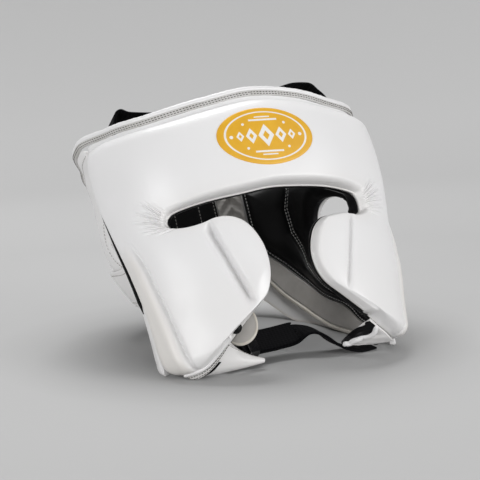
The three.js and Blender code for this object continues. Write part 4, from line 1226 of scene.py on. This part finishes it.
def facing(places, side, inset, inwards=False):
    """Direction, in the world, in which a face looks at places of one side."""
    sign = -1.0 if inwards else 1.0
    return sign * outward(side * places[..., 0], places[..., 1], inset)


def sewn_run(places, side, inset, inwards=False):
    """Path and normal of a stitch run over places of a face, in the world."""
    return laid(on_side(places, side, inset), SEWN_CLEAR), facing(places, side, inset, inwards)


def sewn_edge(edge, off):
    """Inset at distances from an edge: rolled in over its rounding and drawn in along its seam."""
    seam = bell((off - edge["seam"]) / edge["seam_width"])
    return edge["depth"] * rounding(off / edge["round"]) + edge["seam_depth"] * seam


def rear_panel(side, name):
    """Leather wall round the ear hole, its outer face rolled in at the hole and the border."""
    cushion = cushion_boundary(side)
    border = panel_boundary(side, PANEL["outer"])
    hole = hole_toward(side, cushion)

    def places(outer):
        near = lerp(hole[:, None], cushion[:, None], crowded(GRID["panel_near"])[None, :, None])
        far = lerp(cushion[:, None], outer[:, None], np.linspace(0, 1, GRID["panel_far"])[None, 1:, None])
        return np.concatenate([near, far], axis=1)

    outer_places = places(border)
    from_hole = distance_to(HOLE_RINGS[int(side)], outer_places)
    from_border = distance_to(border, outer_places)
    drawn = sewn_edge(HOLE_EDGE, from_hole) + sewn_edge(BORDER_EDGE, from_border)
    outer = laid(on_side(outer_places, side, PANEL["outer"] + drawn))
    inner = laid(on_side(places(panel_boundary(side, PANEL["inner"])), side, PANEL["inner"]))
    bearing, height = outer_places[..., 0], outer_places[..., 1]
    raw = RAW_EDGE["tone"] * bell(from_border / RAW_EDGE["width"]) * (height < RAW_EDGE["below"])
    raw = raw * smooth((bearing - RAW_EDGE["start"]) / RAW_EDGE["fade"])
    # Tint layer: painted warm shade on both faces, plus the tan of the raw edge
    shade_and_raw_tint = [tone + raw for tone in PANEL["shade_and_raw_tint"]]
    piece = wall(f"side_leather_{name}", outer, inner, ring=True, layers={"shade_and_raw_tint": shade_and_raw_tint})
    dress(piece, "white", "white_leather", f"rear_panel_{name}", fill=0.4)
    ring = hole_place(side, np.linspace(0.0, 2 * np.pi, GRID["hole_seam"]), HOLE_EDGE["seam"])
    upper = np.linspace(*PANEL["top_seam"], GRID["panel_seam"])
    top = np.stack([upper, sewn_top(side * upper) - PANEL["top_seam_drop"]], -1)
    runs = [sewn_run(line, side, PANEL["outer"] + PANEL["thread"]) for line in (ring, top)]
    sew(f"rear_panel_stitches_{name}", runs, "leather", "grey_thread", "white_leather")


def cushion_inset(side, boundary, places):
    """Inset of the cushion's face: as far from the wall as its distance from hole, border and sewn
    line lets it swell, each as a quarter ellipse."""
    from_border = distance_to(boundary, places) - CUSHION["margin"]
    from_hole = distance_to(HOLE_RINGS[int(side)], places)
    from_seam = distance_to(spaced(CUSHION_SEAM, GRID["cushion_pinch"]), places) - CUSHION["seam_flat"]
    swell = 1 - rounding(from_border / CUSHION["border_round"])
    swell = swell * (1 - rounding(from_hole / CUSHION["hole_round"]))
    pinch = CUSHION["pinch"] * rounding(from_seam / CUSHION["pinch_round"])
    return lerp(CUSHION["edge"], CUSHION["crown"], swell * (1 - pinch))


def ear_cushion(side, name):
    """Black pillow round the ear hole, sewn down along one line and near its rear border."""
    boundary = cushion_boundary(side)
    hole = hole_toward(side, boundary)
    places = lerp(hole[:, None], boundary[:, None], np.linspace(0, 1, GRID["cushion"])[None, :, None])
    insets = CUSHION["outer"], cushion_inset(side, boundary, places)
    faces = [laid(on_side(places, side, inset)) for inset in insets]
    piece = wall(f"ear_pillow_{name}", *faces, ring=True)
    dress(piece, "black", "black_lining", f"ear_cushion_{name}", fill=0.75)
    rear = places[RING["front"] + RING["top"]:-CUSHION_SEWN["short"], -1]
    rear = rear - (CUSHION_SEWN["border"] / MM_PER_DEGREE, 0.0)
    seam = spaced(CUSHION_SEAM, GRID["cushion_seam"])
    ahead = np.gradient(seam * PLACE_SCALE, axis=0)
    beside = CUSHION_SEWN["beside"] * unit(np.stack([ahead[:, 1], -ahead[:, 0]], -1)) / PLACE_SCALE
    runs = [
        sewn_run(line, side, cushion_inset(side, boundary, line) + CUSHION_SEWN["proud"], True)
        for line in (rear, seam - beside, seam + beside)
    ]
    sew(f"cushion_stitches_{name}", runs, "cushion", "white_thread", "black_lining")


def outward_step(u, distance):
    """Step of so many millimetres from the cushion's edge towards the liner's outer edge."""
    across = liner_place(u, "outer") - liner_place(u, "cushion")
    length = np.hypot(across[..., 0] * MM_PER_DEGREE, across[..., 1])
    return across * (distance / length)[..., None]


def rear_liner(side, name):
    """Quilted grey cloth behind and below the cushion: folds slant away from its middle in its upper
    part and die out to a smooth band below."""
    rows, columns = GRID["liner"]
    u = np.linspace(0.0, len(LINER_ROWS) - 1.0, rows)
    f = crowded(columns)[None, :, None]
    start = liner_place(u, "cushion") + outward_step(u, LINER["gap"])
    places = lerp(start[:, None], liner_place(u, "outer")[:, None], f)
    across, height = f[..., 0] - QUILT["middle"], places[..., 1]
    sway = QUILT["sway"] * np.sin(height / QUILT["sway_length"])
    phase = height / QUILT["pitch"] + QUILT["slant"] * np.abs(across) + sway
    fold = QUILT["fold"] * (0.5 + 0.5 * np.cos(2 * np.pi * phase)) ** QUILT["fold_power"]
    small_phase = height / QUILT["small_pitch"] - QUILT["small_slant"] * across
    small = QUILT["small"] * np.sin(2 * np.pi * small_phase)
    spine = QUILT["spine"] * bell(across / QUILT["spine_width"])
    upper = smooth((height - QUILT["low"]) / QUILT["fade"])
    puffed = np.sin(np.pi * f[..., 0]) ** QUILT["puff_power"]
    inset = LINER["inner"] + puffed * (QUILT["puff"] + upper * (fold + small - spine))
    faces = [laid(on_side(places, side, face)) for face in (LINER["outer"], inset)]
    piece = wall(f"quilted_liner_{name}", *faces, uv=places * PLACE_SCALE / MM_PER_METRE)
    dress(piece, "grey", "grey_liner", f"rear_liner_{name}", fill=0.5)


def liner_piping(side, name):
    u = np.linspace(0.0, PIPING["last_row"], GRID["piping"])
    places = liner_place(u, "outer") + outward_step(u, PIPING["drop"])
    path = laid(on_side(places, side, PIPING["inset"]), PIPING["radius"])
    piece = tube(f"piping_{name}", path, facing(places, side, PIPING["inset"]), PIPING["radius"])
    dress(piece, "piping", "piping", f"liner_piping_{name}")


def back_panel():
    """Black panel inside the back, lightly crowned between its sewn lines."""
    rows, columns = GRID["back"]
    bearing = np.linspace(BACK_PANEL["start"], 360 - BACK_PANEL["start"], rows)[:, None]
    f = crowded(columns)[None]
    height = lerp(BACK_PANEL["low"], sewn_top(bearing) + BACK_PANEL["top_lift"], f)
    off = np.abs(bearing - 180.0)
    channel = sum(bell((off - place) / BACK_CHANNEL["width"]) for place in BACK_CHANNEL["places"])
    border = BACK_PANEL["border"] * rounding(np.minimum(f, 1 - f) / BACK_PANEL["border_share"])
    inset = BACK_PANEL["inner"] - BACK_CHANNEL["depth"] * channel - border
    faces = [leaned(on_form(bearing, height, face)) for face in (BACK_PANEL["outer"], inset)]
    dress(wall("black_back", *faces), "black", "black_lining", "back_panel", fill=0.4)
    runs = []
    for place in BACK_SEAMS["places"]:
        ends = BACK_PANEL["low"] + BACK_SEAMS["rise"], sewn_top(place) - BACK_SEAMS["drop"]
        heights = np.linspace(*ends, GRID["back_seam"])
        line = np.stack([np.full_like(heights, place), heights], -1)
        runs.append(sewn_run(line, 1.0, BACK_PANEL["inner"] - BACK_CHANNEL["depth"], True))
    sew("back_panel_stitches", runs, "back", "grey_thread", "black_lining")


# Straps

def closure_strap():
    """Leather strap round the outside of the back, rounded over at its edges and sewn along them."""
    last = len(CLOSURE_ROWS) - 1.0
    rows, columns = GRID["closure"]
    u = np.linspace(0.0, last, rows)[:, None]
    row = along(CLOSURE_ROWS, u)
    half = CLOSURE["width"] / 2
    across = both_ways(columns)[None] * half
    from_edge = half - np.abs(across)
    narrowing = CLOSURE["end_share"] * rounding(np.minimum(u, last - u) / CLOSURE["end_rows"])
    bearing, height, inset = row[..., 0], row[..., 1] + across * (1 - narrowing), row[..., 2]
    under = CLOSURE["thick"] - CLOSURE["under_depth"] * rounding(from_edge / CLOSURE["under_round"])
    faces = [
        leaned(on_form(bearing, height, inset + deep)) for deep in (sewn_edge(CLOSURE_EDGE, from_edge), under)
    ]
    # Tint layer: painted warm shade over the whole strap
    shade_and_raw_tint = np.full(height.shape, CLOSURE["shade_and_raw_tint"])
    piece = wall("rear_strap", *faces, layers={"shade_and_raw_tint": (shade_and_raw_tint, shade_and_raw_tint)})
    dress(piece, "white", "white_leather", "closure_strap")
    ends = CLOSURE["seam_start"], last - CLOSURE["seam_start"]
    bearing, middle, inset = along(CLOSURE_ROWS, np.linspace(*ends, GRID["closure_seam"])).T
    runs = []
    for edge in (-1.0, 1.0):
        height = middle + edge * (half - CLOSURE_EDGE["seam"])
        path = leaned(on_form(bearing, height, inset + CLOSURE_EDGE["seam_depth"]))
        runs.append((path, outward(bearing, height, inset)))
    sew("closure_stitches", runs, "leather", "grey_thread", "white_leather")


def crown_strap(side, name):
    """Webbing over the crown: rows of places across the head, widened fore and aft."""
    rows = CROWN_ROWS[name]
    steps, columns = GRID["crown"]
    line = along(rows, np.linspace(0.0, len(rows) - 1.0, steps))
    ahead = unit(np.gradient(line[:, :2], axis=0))
    lap = CROWN["lap"] if side > 0 else 0.0
    lift = lap * grown(line[:, :1], CROWN["lap_from"], CROWN["lap_to"])
    half = CROWN["width"] / 2
    across = both_ways(columns) * half
    thin = CROWN["edge_depth"] * rounding((half - np.abs(across)) / CROWN["edge_round"])

    def face(offset, inwards):
        deep = offset + inwards * thin[None]
        x = side * (line[:, :1] + deep * ahead[:, 1:]) + SIDE_LEAN * line[:, 1:2]
        z = line[:, 1:2] + lift - deep * ahead[:, :1]
        return leaned(np.stack([x, line[:, 2:] + across, z], -1))

    uv = np.stack(np.broadcast_arrays(run_lengths(line)[:, None], across[None]), -1) / MM_PER_METRE
    piece = wall(f"crown_webbing_{name}", face(0.0, 1), face(CROWN["thick"], -1), uv=uv)
    dress(piece, "webbing", "black_webbing", f"crown_strap_{name}")


# Badge

PRINT = {"ring": 0.84, "ring_width": 0.9, "feather": 0.28, "cut": 0.42}
# White shapes of the print, in millimetres from its middle
LOZENGES = [
    (0, 0, 6.2, 9.0), (-11.5, 0, 4.3, 6.2), (11.5, 0, 4.3, 6.2), (-20, 0, 2.9, 4.1), (20, 0, 2.9, 4.1),
]
BARS = [(0, 12.6, 11.0, 0.7), (0, -12.6, 11.0, 0.7), (0, 15.0, 6.0, 0.5), (0, -15.0, 6.0, 0.5)]
DOTS = [
    (-26.5, 0.0, 1.3), (26.5, 0.0, 1.3), (-16, 9.6, 1.0), (16, 9.6, 1.0), (-16, -9.6, 1.0), (16, -9.6, 1.0),
]


def badge_print(x, y):
    """Share of white ink: inside any shape, feathered over a third of a millimetre. A lozenge's
    distance is the sum of its shares of width and height, a bar's the larger overhang."""
    spread = np.hypot(x / BADGE["half_width"], y / BADGE["half_height"])
    off = np.abs(spread - PRINT["ring"]) * BADGE["half_height"] - PRINT["ring_width"] / 2
    for cx, cy, w, h in LOZENGES:
        whole = (np.abs(x - cx) / w + np.abs(y - cy) / h - 1.0) * min(w, h)
        cut = (PRINT["cut"] - np.abs(x - cx) / w - np.abs(y - cy) / h) * min(w, h)
        off = np.minimum(off, np.maximum(whole, cut))
    for cx, cy, w, h in BARS:
        off = np.minimum(off, np.maximum(np.abs(x - cx) - w, np.abs(y - cy) - h))
    for cx, cy, r in DOTS:
        off = np.minimum(off, np.hypot(x - cx, y - cy) - r)
    return smooth(0.5 - off / PRINT["feather"])


def brow_inset(bearing, height):
    """Inset of the brow's skin at places, with the stations through them closed in on by repetition."""
    u = bearing / BROW_DEGREES_PER_STATION
    for _ in range(BROW_PASSES):
        station = shell_station(u)
        lip, edge = station["lip"], station["edge"]
        share = (height - lip[..., 1]) / (edge[..., 1] - lip[..., 1])
        u = u + (bearing - lerp(lip[..., 0], edge[..., 0], share)) / BROW_DEGREES_PER_STATION
    return skin_inset(shell_station(u), share)


def badge():
    """Oval patch on the brow skin: a square grid drawn out to a disc, rounded over at its rim and
    closed behind by a fan."""
    disc = disc_grid(*GRID["badge"])
    x, y = BADGE["half_width"] * disc[..., 0], BADGE["half_height"] * disc[..., 1]
    bearing = np.degrees(x / FRONT_DEPTH)
    height = BADGE["height"] + y
    skin = brow_inset(bearing, height)
    from_rim = (1 - np.hypot(disc[..., 0], disc[..., 1])) * BADGE["half_height"]
    lift = BADGE["thick"] * (1 - rounding((from_rim + BADGE["rim_lift"]) / BADGE["rim_round"]))
    front = on_form(bearing, height, skin - lift)
    index = np.arange(front.size // 3).reshape(front.shape[:2])
    border = np.concatenate([index[0], index[1:, -1], index[-1, -2::-1], index[-2:0:-1, 0]])
    sunk = on_form(*(v.ravel()[border] for v in (bearing, height, skin + BADGE["sunk"])))
    under = index.size + np.arange(len(border))
    tip = index.size + len(border)
    ring = np.stack([np.append(border, border[0]), np.append(under, under[0])])
    fan = np.stack([np.full(len(under), tip), under, np.roll(under, -1)], -1)
    quads = np.vstack([grid_quads(index), grid_quads(ring)])
    points = np.vstack([front.reshape(-1, 3), sunk, sunk.mean(axis=0)])
    ink = np.concatenate([badge_print(x, y).ravel(), np.zeros(len(under) + 1)])
    piece = put_mesh("oval_badge", leaned(points), quads, fan, layers={"print": ink})
    dress(piece, "gold", "gold_badge", "badge")


# Chin flaps, strap and tongue

def flap_sheet(side, tip_place):
    """Leather from the pad's bottom edge to the tip, sagging on the floor, hollow at its free edge and
    crumpled on the wearer's left."""
    rows, columns = GRID["flap"]
    jawward = crowded(rows)
    edge = shell_station(side * lerp(FLAP["start"], FLAP["end"], jawward))["edge"]
    top = on_form(edge[:, 0], edge[:, 1], FLAP["inset"]) - FLAP["drop"] * UPRIGHT
    jawward = jawward[:, None, None]
    f = (FLAP_TIP_SHARE * crowded(columns))[None, :, None]
    bow = 4 * f * (1 - f)
    sag = FLAP["sag"] * bow * (1 - jawward) + FLAP_OFF_FLOOR
    points = lerp(top[:, None], from_floor(tip_place), f) - UPRIGHT * sag
    push = FLAP["hollow"] * jawward ** 3
    if side > 0:
        folds = crossed_waves(FLAP_WAVES, np.arange(rows)[:, None], np.arange(columns))
        push = push - FLAP["crumple"] * folds[..., None]
    return rested(points + BACKWARD * bow * push) + UPRIGHT * FLAP_OFF_FLOOR


def flap_band(sheet):
    """Part of the left flap before its rolled line, which bows back by a half sine."""
    columns = np.arange(1, sheet.shape[1] - 1)
    line = FLAP_ROLL["row"] - FLAP_ROLL["bow"] * np.sin(np.pi * np.linspace(0.0, 1.0, len(columns)))
    rows = lerp(line, sheet.shape[0] - 1.0, np.linspace(0.0, 1.0, GRID["flap_band"])[:, None])
    low = np.minimum(np.floor(rows).astype(int), sheet.shape[0] - 2)
    return lerp(sheet[low, columns], sheet[low + 1, columns], (rows - low)[..., None])


def chin_flap(side, name):
    """Leather flap with a black lining on its inner face and two stitched rows at its free edge. On
    the left the lining is turned over to the front behind a roll, on the right a dark slot shows."""
    sheet = leaned(flap_sheet(side, FLAP_TIPS[name]))
    inwards = np.sign(np.mean(sheet_normals(sheet)[..., 1]))
    half = FLAP["thick"] / 2
    # Tint layer: painted warm shade over the whole flap
    shade_and_raw_tint = np.full(sheet.shape[:2], FLAP["shade_and_raw_tint"])
    piece = thick_sheet(f"flap_leather_{name}", sheet, FLAP["thick"], layers={"shade_and_raw_tint": (shade_and_raw_tint, shade_and_raw_tint)})
    dress(piece, "white", "white_leather", f"chin_flap_{name}")

    def black_sheet(sheet_name, part, way, gap):
        piece = thick_sheet(sheet_name, part, FLAP_LINING["thick"], raise_by=way * (half + gap))
        dress(piece, "black", "black_lining")

    inside = sheet[FLAP_LINING["rows"], FLAP_LINING["columns"]]
    black_sheet(f"flap_lining_{name}", inside, inwards, FLAP_LINING["gap"])
    normals = -inwards * sheet_normals(sheet)
    on_face = sheet + normals * half
    span = FLAP_SEAMS["columns"]
    runs = [(on_face[-row, span], normals[-row, span]) for row in FLAP_SEAMS["rows"]]
    sew(f"flap_stitches_{name}", runs, "flap", "grey_thread", "white_leather")
    if side < 0:
        slot = sheet[FLAP_SLOT["rows"], FLAP_SLOT["columns"]]
        black_sheet("flap_slot", slot, -inwards, FLAP_SLOT["gap"])
        return
    black_sheet("flap_turnover", flap_band(sheet), -inwards, FLAP_LINING["gap"])
    aside = unit(flap_band(normals)[0])
    path = flap_band(on_face)[0] + FLAP_ROLL["lift"] * aside
    share = np.abs(np.linspace(-1.0, 1.0, len(path)))
    radius = FLAP_ROLL["radius"] * np.sqrt(FLAP_ROLL["blunt"] - share ** FLAP_ROLL["power"])
    # The roll's tint paints faint warm shade on it
    roll = tube("flap_roll", path, aside, radius, GRID["roll_turns"], shade_and_raw_tint=FLAP_ROLL["shade_and_raw_tint"])
    dress(roll, "white", "white_leather")


def jaw_binding():
    """White roll along the bottom of the right cheek pad, fattest at its jaw end, over a flat seam
    strip."""
    u = np.linspace(JAW_ROLL["start"], JAW_ROLL["end"], GRID["jaw_roll"])
    edge = shell_station(-np.minimum(u, JAW_END))["edge"]
    bearing, height = (edge + np.maximum(u - JAW_END, 0.0)[:, None] * (JAW_ROLL["beyond"], 0.0)).T
    ahead = (u - u[0]) / (u[-1] - u[0])
    tip = 1 - JAW_ROLL["tip"] * rounding((u[-1] - u) / JAW_ROLL["tip_rows"])
    radius = (JAW_ROLL["radius"] + JAW_ROLL["swell"] * ahead ** JAW_ROLL["power"]) * tip
    path = on_form(bearing, height, JAW_ROLL["inset"]) - JAW_ROLL["drop"] * UPRIGHT
    # Its tint paints warm shade along the roll
    piece = tube(
        "jaw_binding_right", laid(path, radius.max()), outward(bearing, height, JAW_ROLL["inset"]), radius,
        GRID["roll_turns"], shade_and_raw_tint=JAW_ROLL["shade_and_raw_tint"],
    )
    dress(piece, "white", "white_leather")
    rows, columns = GRID["jaw_seam"]
    edge = shell_station(-np.linspace(JAW_SEAM["start"], JAW_SEAM["end"], rows))["edge"]
    down = np.linspace(JAW_SEAM["top"], JAW_SEAM["bottom"], columns)[None, :, None]
    strip = on_form(edge[:, 0], edge[:, 1], JAW_SEAM["inset"])[:, None] - down * UPRIGHT
    strip = laid(strip, JAW_SEAM["clear"])
    # This strip takes the binding finish's painted grey shade
    dress(thick_sheet("jaw_seam_right", strip, JAW_SEAM["thick"]), "binding", "binding_leather")
    normals = sheet_normals(strip)
    normals = normals * -np.sign(np.mean(normals[..., 1]))
    on_face = strip + JAW_SEAM["thick"] / 2 * normals
    runs = [(on_face[:, row], normals[:, row]) for row in JAW_SEAM["rows"]]
    sew("jaw_stitches_right", runs, "jaw", "dark_thread", "binding_leather")


def jaw_knob():
    """Black rolled end of the lining beside the right pad's jaw binding: an egg along the edge."""
    edge = shell_station(np.array([JAW_KNOB["station"]]))["edge"][0]
    centre = on_form(edge[0] + JAW_KNOB["bearing"], edge[1] + JAW_KNOB["height"], JAW_KNOB["inset"])
    rows, turns = GRID["knob"]
    share = np.sin(np.linspace(-0.5, 0.5, rows) * np.pi)
    path = leaned(centre + (share * JAW_KNOB["half_length"])[:, None] * unit(np.array(JAW_KNOB["way"])))
    radius = JAW_KNOB["radius"] * np.sqrt(JAW_KNOB["blunt"] - share ** 2)
    side = np.broadcast_to(-BACKWARD, path.shape)
    dress(tube("jaw_knob", path, side, radius, turns), "black", "black_lining")


def strap_frame(u):
    """Middle line, edge direction and way ahead of the chin strap at row numbers u."""
    row = along(STRAP_ROWS, u)
    turn = np.radians(row[..., 3])
    edge = np.stack([np.zeros_like(turn), np.sin(turn), np.cos(turn)], -1)
    probe = 0.1
    last = len(STRAP_ROWS) - 1.0
    ahead = along(STRAP_ROWS, np.minimum(u + probe, last)) - along(STRAP_ROWS, np.maximum(u - probe, 0.0))
    return row[..., :3] + MIDDLE, edge, unit(ahead[..., :3])


def webbing(name, node, u, sideways):
    """Webbing over a grid of row numbers and places across, moved sideways from its middle line."""
    across = both_ways(u.shape[1]) * STRAP["width"] / 2
    middle, edge, ahead = strap_frame(u)
    sheet = middle + unit(np.cross(ahead, edge)) * sideways + edge * across[None, :, None]
    uv = np.stack(np.broadcast_arrays(run_lengths(middle), across), -1) / MM_PER_METRE
    dress(thick_sheet(name, sheet, STRAP["thick"], uv=uv), "webbing", "black_webbing", node)


def chin_strap():
    """Strap along its middle line, and its doubled-back tail beside it with a frayed end."""
    rows, columns = GRID["strap"]
    u = np.linspace(0.0, len(STRAP_ROWS) - 1.0, rows)[:, None]
    webbing("chin_webbing", "chin_strap", np.repeat(u, columns, axis=1), 0.0)
    last = TAIL["last"] + waves(TAIL_FRAY, np.arange(columns)) - TAIL["fray"]
    share = np.linspace(0.0, 1.0, GRID["tail"])[:, None]
    webbing("webbing_tail", "strap_tail", lerp(TAIL["first"], last, share), TAIL["shift"])


def strap_keeper():
    """Flat ring round both plies of the strap: a rounded oblong loop, rounded over at its rims."""
    middle, edge, ahead = (v[0] for v in strap_frame(np.array([KEEPER["row"]])))
    across = unit(np.cross(ahead, edge))
    centre = middle + across * TAIL["shift"] / 2
    around, columns = GRID["keeper"]
    angle = circle(around)[:, None, None]
    half = KEEPER["length"] / 2
    span = both_ways(columns)[None, :, None] * half

    def face(grow, roll):
        out = KEEPER["gap"] + grow + roll * rounding((half - np.abs(span)) / KEEPER["rim_round"])
        half_thick = (TAIL["shift"] + STRAP["thick"]) / 2 + out
        half_tall = STRAP["width"] / 2 + out
        return (centre + across * half_thick * signed_power(np.cos(angle), KEEPER["flat_power"])
                + edge * half_tall * signed_power(np.sin(angle), KEEPER["tall_power"]) + ahead * span)

    inner, outer = face(0.0, KEEPER["inner_roll"]), face(KEEPER["thick"], -KEEPER["outer_roll"])
    dress(wall("gloss_keeper", inner, outer, ring=True), "gloss", "strap_keeper", "strap_keeper")


def jaw_tab():
    """Padded tongue of grey lining with cream piping round it."""
    middle = np.array([JAW_TAB["bearing"], JAW_TAB["height"]])
    half = np.array([JAW_TAB["half_bearing"], JAW_TAB["half_height"]])
    disc = disc_grid(*GRID["tab"])
    places = middle + half * disc
    puff = JAW_TAB["puff"] * (1 - np.sum(disc ** 2, -1))
    insets = JAW_TAB["inset"] - puff, JAW_TAB["inset"] + JAW_TAB["thick"] + puff
    faces = [laid(on_side(places, 1.0, inset)) for inset in insets]
    piece = wall("grey_tongue", *faces, uv=places * PLACE_SCALE / MM_PER_METRE)
    dress(piece, "grey", "grey_liner", "jaw_tab", fill=0.35)
    angle = circle(GRID["tab_rim"])
    places = middle + half * np.stack([np.cos(angle), np.sin(angle)], -1)
    inset = JAW_TAB["inset"] + JAW_TAB["thick"] / 2
    path = laid(on_side(places, 1.0, inset), JAW_TAB["piping"])
    rim = tube("jaw_tab_piping", path, facing(places, 1.0, inset), JAW_TAB["piping"], ring=True)
    dress(rim, "piping", "piping")


def edge_cord(side, name):
    """Thin black tube along the shell's rear edge, where a dark line runs."""
    numbers = np.linspace(CORD["start"], CORD["end"], GRID["cord"])
    near_end = np.minimum(numbers - CORD["start"], CORD["end"] - numbers) / CORD["taper"]
    radius = CORD["radius"] * lerp(CORD["tip"], 1.0, smooth(near_end))
    bearing, height = shell_station(side * numbers)["edge"].T
    bearing = bearing + side * CORD["behind"]
    path = laid(on_form(bearing, height, CORD["inset"]), CORD["radius"])
    sideways = outward(bearing, height, CORD["inset"])
    dress(tube(f"edge_cord_{name}", path, sideways, radius, GRID["cord_turns"]), "black", "black_lining")


# Stage, light and camera

BACKDROP = {"flat": 1.5, "bend": 1.3, "wall": 1.2, "sides": 96, "hub": 0.02, "rings": 40, "bend_steps": 24}
# Light that the floor gives off so that it keeps one tone far from the lamps. Columns: radius, strength
BACKDROP_GLOW = np.array([
    [0.11, 0.0], [0.15, 0.07], [0.19, 0.14], [0.28, 0.155], [0.61, 0.14], [1.23, 0.21], [2.0, 0.27],
])


def stage_floor():
    """Round pale floor that bends up into a wall: a line, a quarter circle and a line, turned."""
    flat, bend, tall = (BACKDROP[key] for key in ("flat", "bend", "wall"))
    swing = np.linspace(0.0, np.pi / 2, BACKDROP["bend_steps"])
    level = np.linspace(BACKDROP["hub"], flat, BACKDROP["rings"], endpoint=False)
    radius = np.concatenate([level, flat + bend * np.sin(swing), [flat + bend]])
    height = np.concatenate([0 * level, bend * (1 - np.cos(swing)), [bend + tall]])
    turn = circle(BACKDROP["sides"])[:, None]
    points = np.stack(np.broadcast_arrays(radius * np.cos(turn), radius * np.sin(turn), height), -1)
    rows, columns = points.shape[:2]
    index = np.arange(rows * columns).reshape(rows, columns)
    index = np.vstack([index, index[:1]])
    fan = np.stack([np.full(rows, rows * columns), index[:-1, 0], index[1:, 0]], -1)
    mesh = bpy.data.meshes.new("floor")
    faces = grid_quads(index).tolist() + fan.tolist()
    mesh.from_pydata(np.vstack([points.reshape(-1, 3), np.zeros((1, 3))]).tolist(), [], faces)
    mesh.polygons.foreach_set("use_smooth", np.ones(len(faces), bool))
    glow = np.append(np.tile(np.interp(radius, *BACKDROP_GLOW.T), rows), BACKDROP_GLOW[0, 1])
    mesh.attributes.new("glow", "FLOAT", "POINT").data.foreach_set("value", glow.astype(np.float32))
    finish = Finish("pale_floor", (0.37, 0.37, 0.37), 1.0, **{
        "Emission Color": (1.0, 1.0, 1.0, 1.0), "Emission Strength": 0.05, "Specular IOR Level": 0.0})
    finish.feed("Emission Strength", finish.layer("glow"))
    mesh.materials.append(finish.material)
    linked("floor", mesh)


SKY_STRENGTH = 0.2
# Columns: name, place, aim, size, power
LIGHTS = [
    ("key", (1.05, -1.45, 0.36), (0.0, -0.02, 0.1), 1.1, 18.8),
    ("fill", (-1.6, -1.0, 0.38), (0.0, 0.0, 0.1), 1.1, 16.5),
    ("top", (0.0, 0.75, 1.75), (0.0, 0.0, 0.1), 1.1, 25.0),
]


def studio_light():
    """Round area lamps turned to their aims, under an even pale sky."""
    for name, place, aim, size, power in LIGHTS:
        lamp = bpy.data.lights.new(name, "AREA")
        lamp.shape = "DISK"
        lamp.size = size
        lamp.energy = power
        light = linked(name, lamp)
        light.location = place
        way = np.subtract(aim, place)
        flat = np.hypot(way[0], way[1])
        light.rotation_euler = (np.arctan2(flat, -way[2]), 0.0, np.arctan2(-way[0], way[1]))
    world = bpy.data.worlds.new("studio")
    world.use_nodes = True
    background = world.node_tree.nodes["Background"]
    background.inputs["Color"].default_value = (1.0, 1.0, 1.0, 1.0)
    background.inputs["Strength"].default_value = SKY_STRENGTH
    bpy.context.scene.world = world
    bpy.context.scene.view_settings.view_transform = "Standard"


def photo_camera():
    """The photograph's camera: turned about the upright, tipped down and rolled about its own axis."""
    lens = bpy.data.cameras.new("photo_camera")
    lens.lens = CAMERA["lens"]
    lens.sensor_width = CAMERA["sensor"]
    lens.clip_start = CAMERA["clip"]
    camera = linked("photo_camera", lens)
    camera.matrix_world = (
        Matrix.Translation(CAMERA["place"])
        @ Matrix.Rotation(-np.radians(CAMERA["turn"]), 4, "Z")
        @ Matrix.Rotation(np.radians(90.0 - CAMERA["down"]), 4, "X")
        @ Matrix.Rotation(np.radians(CAMERA["roll"]), 4, "Z")
    )
    bpy.context.scene.camera = camera


photo_camera()
stage_floor()
studio_light()
front_shell()
shell_lining()
badge()
top_binding()
back_panel()
closure_strap()
for SIDE, NAME in ((1.0, "left"), (-1.0, "right")):
    rear_panel(SIDE, NAME)
    ear_cushion(SIDE, NAME)
    rear_liner(SIDE, NAME)
    liner_piping(SIDE, NAME)
    crown_strap(SIDE, NAME)
    chin_flap(SIDE, NAME)
    edge_cord(SIDE, NAME)
jaw_binding()
jaw_tab()
jaw_knob()
chin_strap()
strap_keeper()
